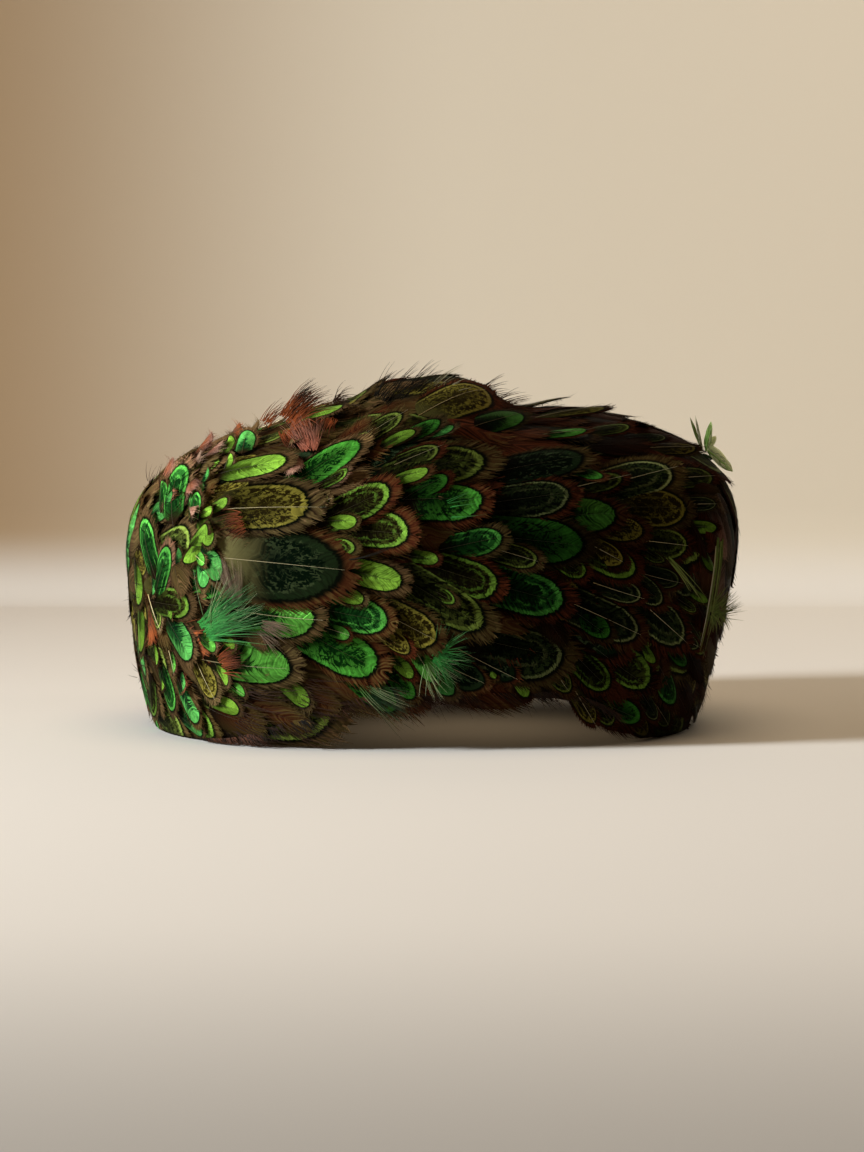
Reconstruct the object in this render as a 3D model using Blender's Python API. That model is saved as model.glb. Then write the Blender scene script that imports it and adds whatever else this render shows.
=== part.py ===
"""A feather pillbox hat: a hollow domed foundation cap under overlapping courses of feathers.

Metres, +Z up. The hat stands on its rim at z = 0, the wearer's front towards -X, and its near side
towards -Y. The feathers lie from a rosette low on the front, round both sides and over the crown,
to the middle of the back rim.
"""

import math

import bpy
import numpy as np

# The foundation cap: how far its outer face lies from the middle of its widest level
FRONT_REACH = 0.1000
BACK_REACH = 0.1060
SIDE_REACH = 0.0920
BULGE_HEIGHT = 0.0600
CROWN_HEIGHT = 0.1120
RIM_INSET = 0.0090
WALL = 0.0022
PLAN_SQUARENESS = 2.25
PROFILE_SQUARENESS = 2.25

# The rim rests on the floor at the front and back, and arches up over the ears
SIDE_LIFT = 0.0170
FRONT_REST_DEG = 42.0
ARCH_FROM_DEG = 84.0
ARCH_TO_DEG = 116.0
BACK_REST_DEG = 150.0

# Swellings and dents of the crown. The angles are seen from the middle of the widest level: fore_aft
# is 0 at the front, 90 at the top and 180 at the back. Rise is a share of the crown's own height.
SWELLINGS = [
    # fore_aft, fore_aft_spread, side_spread, rise
    (92.0, 20.0, 60.0, 0.11),
    (41.0, 20.0, 60.0, -0.10),
    (127.0, 9.0, 50.0, -0.08),
    (143.0, 14.0, 60.0, 0.05),
]

# The lay of the feathers, from a rosette on the front to a point on the back rim
ROSETTE_BELOW_BULGE_DEG = 5.0
GATHER_BELOW_BULGE_DEG = 32.0
ROSETTE_RADIUS = 0.0330
COURSE_PITCH = 0.0285
COURSE_COUNT = 9
COURSE_OVERLAP = 0.0190
FEATHER_PITCH = 0.0245
FEATHER_THICKNESS = 0.0010
TIP_DEPTH = 0.0085
CAMBER = 0.0007

# A loose tuft that stands up on the middle of the crown's back, on this course's last whole width,
# and its barbs, each with its lean from straight up, positive towards the back
TUFT_COURSE = 7
TUFT_SPREAD = 0.0090
TUFT_THICKNESS = 0.0026
TUFT_NOTCH = 0.0040
TUFT_HEIGHT = 0.0160
TUFT_BARBS = [
    # lean_deg, share of the height
    (-35.0, 0.75),
    (-4.0, 0.80),
    (30.0, 0.75),
    (64.0, 1.00),
]

# Clear gaps: under a course's root, between a tip and the course below it, under the rosette, which
# lies on the flatter front, under the tuft, and over the floor
ROOT_GAP = 0.0009
TIP_GAP = 0.0014
ROSETTE_GAP = 0.0007
TUFT_GAP = 0.0004
EDGE_CLEARANCE = 0.0007
EDGE_OVERHANG = 0.0040

# How finely the faces follow the curves
CAP_SIDES = 56
CAP_RINGS = 13
COURSE_ROWS = 5
COLUMN_SHARES = (0.0, 0.3, 0.7)
LANE_LIMIT = math.radians(177.0)

CENTRE = np.array([(FRONT_REACH - BACK_REACH) / 2.0, 0.0, BULGE_HEIGHT])
CROWN_RISE = CROWN_HEIGHT - BULGE_HEIGHT
RIM_SHARE = 1.0 - RIM_INSET / FRONT_REACH
SKIRT_DEPTH = BULGE_HEIGHT / (1.0 - RIM_SHARE**PROFILE_SQUARENESS) ** (1.0 / PROFILE_SQUARENESS)


def cap_reach(directions):
    """Distance from CENTRE to the foundation's outer face: a squared oval with swellings and dents."""
    x, y, z = directions[..., 0], directions[..., 1], directions[..., 2]
    length = np.where(x < 0, FRONT_REACH, BACK_REACH)
    height = np.where(z > 0, CROWN_RISE, SKIRT_DEPTH)
    plan = np.abs(x / length) ** PLAN_SQUARENESS + np.abs(y / SIDE_REACH) ** PLAN_SQUARENESS
    profile = plan ** (PROFILE_SQUARENESS / PLAN_SQUARENESS) + np.abs(z / height) ** PROFILE_SQUARENESS
    reach = profile ** (-1.0 / PROFILE_SQUARENESS)
    fore_aft = np.degrees(np.arctan2(z, -x))
    side = np.degrees(np.arcsin(np.clip(y, -1.0, 1.0)))
    for middle, fore_aft_spread, side_spread, rise in SWELLINGS:
        fall = ((fore_aft - middle) / fore_aft_spread) ** 2 + (side / side_spread) ** 2
        reach = reach + rise * CROWN_RISE * np.exp(-fall)
    return reach


def slant(directions):
    """Cosine of the angle between each direction and the outer face's normal there."""
    step = 1e-4
    helper = np.where(np.abs(directions[..., 2:]) < 0.9, [0.0, 0.0, 1.0], [1.0, 0.0, 0.0])
    first = np.cross(helper, directions)
    first /= np.linalg.norm(first, axis=-1, keepdims=True)
    second = np.cross(directions, first)
    reach = cap_reach(directions)
    slopes = []
    for along in (first, second):
        turned = directions + step * along
        turned /= np.linalg.norm(turned, axis=-1, keepdims=True)
        slopes.append((cap_reach(turned) - reach) / (step * reach))
    return 1.0 / np.sqrt(1.0 + slopes[0] ** 2 + slopes[1] ** 2)


def cap_points(directions, offset=0.0):
    """Points on the outer face, or a true distance outside it (inside, if negative)."""
    reach = cap_reach(directions) + offset / slant(directions)
    return CENTRE + reach[..., None] * directions


def smooth_step(value):
    share = np.clip(value, 0.0, 1.0)
    return share * share * (3.0 - 2.0 * share)


def arch_share(x, y):
    """How much of its full lift the rim has here: 0 where it rests, 1 over the ears."""
    bearing = np.degrees(np.arctan2(np.abs(y), -x))
    rise = smooth_step((bearing - FRONT_REST_DEG) / (ARCH_FROM_DEG - FRONT_REST_DEG))
    fall = smooth_step((bearing - ARCH_TO_DEG) / (BACK_REST_DEG - ARCH_TO_DEG))
    return rise * (1.0 - fall)


def rim_height(points):
    return SIDE_LIFT * arch_share(points[..., 0], points[..., 1])


def feather_edge_height(points):
    """The lowest that a feather course reaches: over the floor, and past the rim at the arches."""
    share = arch_share(points[..., 0], points[..., 1])
    return EDGE_CLEARANCE + (SIDE_LIFT - EDGE_OVERHANG) * share


def halve(low, high, is_inside):
    """Finds, for each entry, the value between low and high where is_inside turns from true to false."""
    for _ in range(40):
        middle = (low + high) / 2.0
        inside = is_inside(middle)
        low, high = np.where(inside, middle, low), np.where(inside, high, middle)
    return low


def polar_directions(bearing, elevation):
    flat = np.cos(elevation)
    return np.stack([-flat * np.cos(bearing), flat * np.sin(bearing), np.sin(elevation)], axis=-1)


def rim_elevation(bearing, offset):
    """Elevation angle, seen from CENTRE, at which a face at this offset meets the rim's height."""

    def above_rim(depth):
        points = cap_points(polar_directions(bearing, -depth), offset)
        return points[..., 2] > rim_height(points)

    lowest = np.full(bearing.shape, math.radians(60.0))
    return -halve(np.zeros(bearing.shape), lowest, above_rim)


def cap_face(offset):
    """Grid of points of one face of the foundation, from the rim up to the crown's middle."""
    bearing = np.arange(CAP_SIDES) * 2.0 * math.pi / CAP_SIDES
    lowest = rim_elevation(bearing, offset)
    share = np.linspace(0.0, 1.0, CAP_RINGS + 1)[:, None]
    elevation = lowest + (math.pi / 2.0 - lowest) * share**1.15
    elevation[-1] = math.pi / 2.0
    return cap_points(polar_directions(np.broadcast_to(bearing, elevation.shape), elevation), offset)


def pole_of(direction_x, below_bulge_deg):
    """Where a pole of the lay falls on the plane that the directions are mapped to."""
    below = math.radians(below_bulge_deg)
    return direction_x * math.cos(below) / (1.0 - math.sin(below))


def lay_directions(flow, lane):
    """Directions from CENTRE at a place in the feathers' lay.

    Flow grows along the feathers, from the rosette to the back rim. Lane is the angle round the
    rosette, 0 for the feathers that pass over the crown. Level lines of flow are circles.
    """
    ratio = np.exp(flow + 1j * lane)
    front = pole_of(-1.0, ROSETTE_BELOW_BULGE_DEG)
    back = pole_of(1.0, GATHER_BELOW_BULGE_DEG)
    mapped = (front + ratio * back) / (1.0 + ratio)
    size = np.abs(mapped) ** 2
    return np.stack([2.0 * mapped.real, 2.0 * mapped.imag, 1.0 - size], axis=-1) / (1.0 + size)[..., None]


def lane_limits(flow, offset):
    """The lane at which each flow line's course meets the feather edge."""

    def above_edge(lane):
        points = cap_points(lay_directions(flow, lane), offset)
        return points[..., 2] > feather_edge_height(points)

    return halve(np.zeros(flow.shape), np.full(flow.shape, LANE_LIMIT), above_edge)


def flow_at(distance):
    """The flow at a distance from the rosette's middle, as the mean over the crown and the sides."""
    flow = np.linspace(-6.0, 3.0, 400)
    travelled = np.zeros(flow.shape)
    for lane in (0.0, math.pi / 2.0):
        points = cap_points(lay_directions(flow, np.full(flow.shape, lane)))
        steps = np.linalg.norm(np.diff(points, axis=0), axis=1)
        start = np.linalg.norm(points[0] - cap_points(lay_directions(np.array([-9.0]), np.array([0.0])))[0])
        travelled += 0.5 * (start + np.concatenate([[0.0], np.cumsum(steps)]))
    return np.interp(distance, travelled, flow)


def tip_share(position):
    """Round feather tips along a course's lower edge: 1 at each tip, 0 in the notch between two."""
    across = 2.0 * (position % 1.0) - 1.0
    return np.sqrt(np.clip(1.0 - across**2, 0.0, 1.0))


def column_positions(count):
    """Columns of faces across a course, in feathers, finer round each tip."""
    shares = [feather + share for feather in range(count) for share in COLUMN_SHARES]
    return np.array([*shares, float(count)])


def solid_from_faces(name, outer, inner, material, closed):
    """A closed solid from two grids of points, rows first. A closed one wraps round its columns."""
    rows, columns = outer.shape[:2]
    points = np.concatenate([outer.reshape(-1, 3), inner.reshape(-1, 3)])
    under = rows * columns
    faces = []
    spans = columns if closed else columns - 1
    for row in range(rows - 1):
        for column in range(spans):
            after = (column + 1) % columns
            a, b = row * columns + column, row * columns + after
            c, d = a + columns, b + columns
            faces.append((a, b, d, c))
            faces.append((a + under, c + under, d + under, b + under))
    for column in range(spans):
        after = (column + 1) % columns
        last = (rows - 1) * columns
        faces.append((column, column + under, after + under, after))
        faces.append((last + column, last + after, last + after + under, last + column + under))
    if not closed:
        for row in range(rows - 1):
            start, end = row * columns, row * columns + columns - 1
            faces.append((start, start + columns, start + columns + under, start + under))
            faces.append((end, end + under, end + columns + under, end + columns))
    return mesh_object(name, points, faces, material)


def mesh_object(name, points, faces, material):
    """An object with its doubles merged, its normals outwards and its round faces smooth."""
    mesh = bpy.data.meshes.new(name)
    mesh.from_pydata(points.tolist(), [], faces)
    made = bpy.data.objects.new(name, mesh)
    bpy.context.scene.collection.objects.link(made)
    bpy.context.view_layer.objects.active = made
    bpy.ops.object.mode_set(mode="EDIT")
    bpy.ops.mesh.select_all(action="SELECT")
    bpy.ops.mesh.remove_doubles(threshold=1e-6)
    bpy.ops.mesh.normals_make_consistent(inside=False)
    bpy.ops.object.mode_set(mode="OBJECT")
    mesh.materials.append(material)
    mesh.shade_smooth()
    mesh.set_sharp_from_angle(angle=math.radians(40.0))
    return made


def make_material(name, colour, roughness):
    material = bpy.data.materials.new(name)
    material.use_nodes = True
    shader = material.node_tree.nodes["Principled BSDF"]
    shader.inputs["Base Color"].default_value = (*colour, 1.0)
    shader.inputs["Roughness"].default_value = roughness
    shader.inputs["Metallic"].default_value = 0.0
    return material


def build_foundation(felt):
    """The hollow cap that carries the feathers, open below."""
    solid_from_faces("foundation_cap", cap_face(0.0), cap_face(-WALL), felt, closed=True)


def lift_along(share):
    """Height of a course's underside over the cap. It rises so that the tips clear the next course."""
    rise = (FEATHER_THICKNESS + TIP_GAP) * (COURSE_PITCH + COURSE_OVERLAP) / COURSE_PITCH
    return ROOT_GAP + rise * share


def build_rosette(feathers):
    """The ring of feathers round the lay's starting point, closed in the middle."""
    count = round(2.0 * math.pi * ROSETTE_RADIUS * 0.75 / FEATHER_PITCH)
    across = column_positions(count)[:-1]
    lane = across / count * 2.0 * math.pi
    tips = tip_share(across)
    rows = np.linspace(0.0, 1.0, COURSE_ROWS + 1)[:, None]
    reach = ROSETTE_RADIUS - TIP_DEPTH * (1.0 - tips)
    flow = flow_at(np.maximum(rows * reach, 1e-5))
    flow[0] = -12.0
    directions = lay_directions(flow, np.broadcast_to(lane, flow.shape))
    share = 1.0 - (ROSETTE_RADIUS - rows * reach) / (COURSE_PITCH + COURSE_OVERLAP)
    under = lift_along(share) - TIP_GAP + ROSETTE_GAP + CAMBER * rows**2 * tips
    inner = cap_points(directions, under)
    outer = cap_points(directions, under + FEATHER_THICKNESS)
    solid_from_faces("front_rosette", outer, inner, feathers, closed=True)


def build_course(number, feathers):
    """One course: a band of feathers across the hat from rim to rim, its lower edge a row of tips."""
    start = ROSETTE_RADIUS - COURSE_OVERLAP + number * COURSE_PITCH
    length = COURSE_PITCH + COURSE_OVERLAP
    middle_flow = flow_at(start + length / 2.0)
    limit = lane_limits(np.array([middle_flow]), ROOT_GAP)[0]
    lane_shares = np.linspace(-1.0, 1.0, 121)
    line = cap_points(lay_directions(np.full(lane_shares.shape, middle_flow), limit * lane_shares))
    travelled = np.concatenate([[0.0], np.cumsum(np.linalg.norm(np.diff(line, axis=0), axis=1))])
    count = max(3, round(travelled[-1] / FEATHER_PITCH))
    across = column_positions(count)
    across_shares = np.interp(across / count * travelled[-1], travelled, lane_shares)
    tips = tip_share(across)
    rows = np.linspace(0.0, 1.0, COURSE_ROWS + 1)[:, None]
    reach = length - TIP_DEPTH * (1.0 - tips)
    flow = flow_at(start + rows * reach)
    under = lift_along(rows * reach / length) + CAMBER * rows**2 * tips
    sides = []
    for height in (under + FEATHER_THICKNESS, under):
        lane = across_shares * lane_limits(flow, height)
        sides.append(cap_points(lay_directions(flow, lane), height))
    solid_from_faces(f"feather_course_{number + 1}", sides[0], sides[1], feathers, closed=False)


def build_tuft(feathers):
    """The loose tuft: a fan of tapered barbs on one base, standing on the middle of the crown."""
    notch_distance = ROSETTE_RADIUS + TUFT_COURSE * COURSE_PITCH - TIP_DEPTH
    distance = np.array([notch_distance - TUFT_SPREAD / 2.0, notch_distance])
    share = 1.0 - (TIP_DEPTH + TUFT_SPREAD / 2.0) / (COURSE_PITCH + COURSE_OVERLAP)
    seat = lift_along(share) + CAMBER * share**2 + FEATHER_THICKNESS + TUFT_GAP
    foot, beyond = cap_points(lay_directions(flow_at(distance), np.zeros(2)), seat)
    along = (beyond - foot) / np.linalg.norm(beyond - foot)
    outward = np.array([-along[2], 0.0, along[0]])
    outline = [(-TUFT_SPREAD / 2.0, 0.0)]
    for number, (lean_deg, share_of_height) in enumerate(TUFT_BARBS):
        lean = math.radians(lean_deg)
        length = share_of_height * TUFT_HEIGHT
        root = ((number + 0.5) / len(TUFT_BARBS) - 0.5) * TUFT_SPREAD
        if number > 0:
            outline.append((root - TUFT_SPREAD / len(TUFT_BARBS) / 2.0, TUFT_NOTCH))
        outline.append((root + length * math.sin(lean), length * math.cos(lean)))
    outline.append((TUFT_SPREAD / 2.0, 0.0))
    count = len(outline)
    flat = np.array([foot + across * along + up * outward for across, up in outline])
    half = np.array([0.0, TUFT_THICKNESS / 2.0, 0.0])
    points = np.concatenate([flat - half, flat + half])
    faces = [tuple(range(count)), tuple(range(2 * count - 1, count - 1, -1))]
    for index in range(count):
        after = (index + 1) % count
        faces.append((index, after, after + count, index + count))
    mesh_object("back_crown_tuft", points, faces, feathers)


def main():
    for old in list(bpy.data.objects):
        bpy.data.objects.remove(old)
    felt = make_material("dark_brown_felt", (0.035, 0.022, 0.014), 0.95)
    greens = make_material("green_feathers", (0.05, 0.20, 0.05), 0.55)
    build_foundation(felt)
    build_rosette(greens)
    for number in range(COURSE_COUNT):
        build_course(number, greens)
    build_tuft(greens)


main()
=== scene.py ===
import math

import bpy
import numpy as np
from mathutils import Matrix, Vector


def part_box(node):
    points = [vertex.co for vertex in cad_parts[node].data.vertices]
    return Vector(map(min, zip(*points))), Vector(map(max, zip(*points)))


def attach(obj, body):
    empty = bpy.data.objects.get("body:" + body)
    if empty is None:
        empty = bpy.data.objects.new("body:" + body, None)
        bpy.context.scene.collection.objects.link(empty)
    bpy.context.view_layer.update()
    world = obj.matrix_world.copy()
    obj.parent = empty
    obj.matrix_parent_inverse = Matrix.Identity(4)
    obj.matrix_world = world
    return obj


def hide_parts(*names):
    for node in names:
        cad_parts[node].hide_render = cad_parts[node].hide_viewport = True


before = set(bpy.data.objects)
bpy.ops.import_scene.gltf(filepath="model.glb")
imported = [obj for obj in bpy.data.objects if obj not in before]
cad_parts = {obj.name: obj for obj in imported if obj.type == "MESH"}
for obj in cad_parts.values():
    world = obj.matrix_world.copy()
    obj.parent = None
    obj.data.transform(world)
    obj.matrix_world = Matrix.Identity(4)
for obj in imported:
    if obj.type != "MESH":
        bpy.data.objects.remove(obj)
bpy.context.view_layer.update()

# The hat's front is towards -X and its near side towards -Y. Sizes are in metres, angles in degrees.
hatForm = {
    "frontReach": 0.1000,
    "backReach": 0.1060,
    "sideReach": 0.0920,
    "bulgeHeight": 0.0600,
    "crownHeight": 0.1120,
    "rimInset": 0.0090,
    "planSquareness": 2.25,
    "profileSquareness": 2.25,
    # fore-aft angle, fore-aft spread, side spread, rise as a share of the crown's own height
    "swellings": [
        (92.0, 20.0, 60.0, 0.11),
        (41.0, 20.0, 60.0, -0.10),
        (127.0, 9.0, 50.0, -0.08),
        (143.0, 14.0, 60.0, 0.05),
    ],
    "rosetteBelowBulge": 5.0,
    "gatherBelowBulge": 32.0,
    "rosetteRadius": 0.0330,
    "rosetteAnchors": 0.55,  # the share of that radius within which its feathers have their anchors
    "coursePitch": 0.0285,
    "courseCount": 9,
    # bearings from the front between which the rim rises to its arch, and falls from it
    "archRises": (42.0, 84.0),
    "archFalls": (116.0, 150.0),
}
capLow, capHigh = (np.array(corner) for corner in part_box("foundation_cap"))
hatCentre = np.array([
    (capLow[0] * hatForm["backReach"] + capHigh[0] * hatForm["frontReach"])
    / (hatForm["frontReach"] + hatForm["backReach"]),
    0.0,
    hatForm["bulgeHeight"],
])


# The cap's surface: along each direction from hatCentre, the radius of a squared oval
# |plan|^p + |height|^p = 1, plus bell-shaped swellings along the middle line
def capReach(directions):
    x, y, z = directions[..., 0], directions[..., 1], directions[..., 2]
    plan, profile = hatForm["planSquareness"], hatForm["profileSquareness"]
    rise = hatForm["crownHeight"] - hatForm["bulgeHeight"]
    rimShare = 1.0 - hatForm["rimInset"] / hatForm["frontReach"]
    skirt = hatForm["bulgeHeight"] / (1.0 - rimShare**profile) ** (1.0 / profile)
    length = np.where(x < 0, hatForm["frontReach"], hatForm["backReach"])
    height = np.where(z > 0, rise, skirt)
    level = np.abs(x / length) ** plan + np.abs(y / hatForm["sideReach"]) ** plan
    reach = (level ** (profile / plan) + np.abs(z / height) ** profile) ** (-1.0 / profile)
    foreAft = np.degrees(np.arctan2(z, -x))
    side = np.degrees(np.arcsin(np.clip(y, -1.0, 1.0)))
    for middle, foreAftSpread, sideSpread, share in hatForm["swellings"]:
        reach = reach + share * rise * np.exp(
            -(((foreAft - middle) / foreAftSpread) ** 2) - (side / sideSpread) ** 2
        )
    return reach


def unit(vectors):
    return vectors / np.linalg.norm(vectors, axis=-1, keepdims=True)


# A point over the surface: hatCentre + direction * (reach + offset / cosine of the surface's slant).
# The slant is limited because the swellings pinch at the two points straight to the sides.
def capPoints(directions, offset):
    step = 1e-4
    mostStretch = 1.5
    helper = np.where(np.abs(directions[..., 2:]) < 0.9, [0.0, 0.0, 1.0], [1.0, 0.0, 0.0])
    first = unit(np.cross(helper, directions))
    second = np.cross(directions, first)
    reach = capReach(directions)
    steepness = 1.0
    for along in (first, second):
        slope = (capReach(unit(directions + step * along)) - reach) / (step * reach)
        steepness = steepness + slope**2
    stretch = np.minimum(np.sqrt(steepness), mostStretch)
    return hatCentre + (reach + offset * stretch)[..., None] * directions


# The cap's outward normals, from two short steps along the surface
def capNormals(directions):
    step = 1e-3
    helper = unit(np.cross(directions, np.array([0.3, 0.5, 0.8])))
    other = unit(np.cross(directions, helper))
    here = capPoints(directions, 0.0)
    first = capPoints(unit(directions + step * helper), 0.0) - here
    second = capPoints(unit(directions + step * other), 0.0) - here
    normal = unit(np.cross(first, second))
    return normal * np.sign((normal * directions).sum(axis=1, keepdims=True))


def smoothStep(value):
    share = np.clip(value, 0.0, 1.0)
    return share * share * (3.0 - 2.0 * share)


# The rim's height is sideLift times a share that is 0 where the hat rests and 1 over the ears
def archShare(points):
    bearing = np.degrees(np.arctan2(np.abs(points[..., 1]), -points[..., 0]))
    (low, full), (falls, ends) = hatForm["archRises"], hatForm["archFalls"]
    risen = smoothStep((bearing - low) / (full - low))
    return risen * (1.0 - smoothStep((bearing - falls) / (ends - falls)))


# The lay of the feathers: circles of equal flow round a start on the front and an end on the back
# rim. On the plane that directions are mapped to, ratio = (mapped - start) / (end - mapped), and
# ratio = exp(flow + i * lane).
def layPoles():
    poles = []
    for sign, below in ((-1.0, hatForm["rosetteBelowBulge"]), (1.0, hatForm["gatherBelowBulge"])):
        poles.append(sign * math.cos(math.radians(below)) / (1.0 - math.sin(math.radians(below))))
    return poles


def layDirections(flow, lane):
    start, end = layPoles()
    ratio = np.exp(flow + 1j * lane)
    mapped = (start + ratio * end) / (1.0 + ratio)
    size = np.abs(mapped) ** 2
    away = np.stack([2.0 * mapped.real, 2.0 * mapped.imag, 1.0 - size], axis=-1)
    return away / (1.0 + size)[..., None]


def layPlaces(directions):
    start, end = layPoles()
    mapped = (directions[:, 0] + 1j * directions[:, 1]) / (1.0 + directions[:, 2])
    ratio = (mapped - start) / (end - mapped)
    return np.log(np.abs(ratio)), np.angle(ratio)


# Distance along the lay from the rosette's middle, as the mean over the crown and the sides
def layDistances():
    closeToStart, pastBackRim, samples = -6.0, 3.0, 400
    flow = np.linspace(closeToStart, pastBackRim, samples)
    travelled = np.zeros(flow.shape)
    for lane in (0.0, math.pi / 2.0):
        points = capPoints(layDirections(flow, np.full(flow.shape, lane)), 0.0)
        steps = np.linalg.norm(np.diff(points, axis=0), axis=1)
        travelled += 0.5 * np.concatenate([[0.0], np.cumsum(steps)])
    return flow, travelled


layFlow, layTravelled = layDistances()


# The camera stands at the photograph's place: its picture is 864 by 1152 pixels
photoView = {
    "width": 864.0,
    "height": 1152.0,
    "focalPixels": 3400.0,
    "distance": 1.20,
    "hatMiddlePixel": 424.0,
    "floorPixel": 722.0,
    "pitchDown": 3.85,
    "sensor": 36.0,
    "farEnd": 20.0,
    # how far before and behind the hat's middle a sight line is searched for the cap
    "searchBefore": 0.13,
    "searchBehind": 0.02,
    "searchSteps": 120,
}


# Puts a camera, a light or a mesh into the scene as an object
def addObject(name, data):
    added = bpy.data.objects.new(name, data)
    bpy.context.scene.collection.objects.link(added)
    return added


def makeCamera():
    pitch = math.radians(photoView["pitchDown"])
    floorDrop = photoView["floorPixel"] - photoView["height"] / 2.0
    floorAngle = pitch + math.atan(floorDrop / photoView["focalPixels"])
    sideways = (photoView["width"] / 2.0 - photoView["hatMiddlePixel"]) / photoView["focalPixels"]
    data = bpy.data.cameras.new("photoCamera")
    data.sensor_width = photoView["sensor"]
    data.lens = photoView["sensor"] * photoView["focalPixels"] / photoView["height"]
    data.clip_end = photoView["farEnd"]
    camera = addObject("photoCamera", data)
    camera.location = (
        sideways * photoView["distance"],
        -photoView["distance"],
        photoView["distance"] * math.tan(floorAngle),
    )
    camera.rotation_euler = (math.pi / 2.0 - pitch, 0.0, 0.0)
    bpy.context.scene.camera = camera
    return camera


# The camera's sight lines through pixels, scaled to one metre forward of it
def sightLines(pixels):
    pitch = math.radians(photoView["pitchDown"])
    right = (pixels[:, 0] - photoView["width"] / 2.0) / photoView["focalPixels"]
    up = (photoView["height"] / 2.0 - pixels[:, 1]) / photoView["focalPixels"]
    return np.stack([
        right,
        np.cos(pitch) + up * np.sin(pitch),
        -np.sin(pitch) + up * np.cos(pitch),
    ], axis=-1)


# Where the sight line through a pixel meets the plane across the picture at this y
def pixelPoints(camera, pixels, y):
    lines, eye = sightLines(pixels), np.array(camera.location)
    return eye + lines * ((y - eye[1]) / lines[:, 1])[:, None]


# Where the sight line through a pixel meets the surface this far over the cap. The line is sampled,
# and the first sample inside is refined by halving; a line that misses takes its nearest point.
def pixelDirections(camera, pixels, offset):
    lines, eye = sightLines(pixels), np.array(camera.location)
    offset = np.broadcast_to(offset, len(pixels))[:, None]

    def depthInside(travel):
        away = eye + travel[..., None] * lines[:, None, :] - hatCentre
        size = np.linalg.norm(away, axis=-1)
        return capReach(away / size[..., None]) + offset - size

    travel = np.linspace(
        photoView["distance"] - photoView["searchBefore"],
        photoView["distance"] + photoView["searchBehind"],
        photoView["searchSteps"],
    )
    travel = np.broadcast_to(travel, (len(pixels), travel.size))
    depth = depthInside(travel)
    first = np.where((depth > 0).any(axis=1), np.argmax(depth > 0, axis=1), np.argmax(depth, axis=1))
    rows = np.arange(len(pixels))
    near, far = travel[rows, np.maximum(first - 1, 0)], travel[rows, first]
    for _ in range(25):
        middle = (near + far) / 2.0
        inside = depthInside(middle[:, None])[:, 0] > 0
        near, far = np.where(inside, near, middle), np.where(inside, middle, far)
    return unit(eye + far[:, None] * lines - hatCentre)


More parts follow.
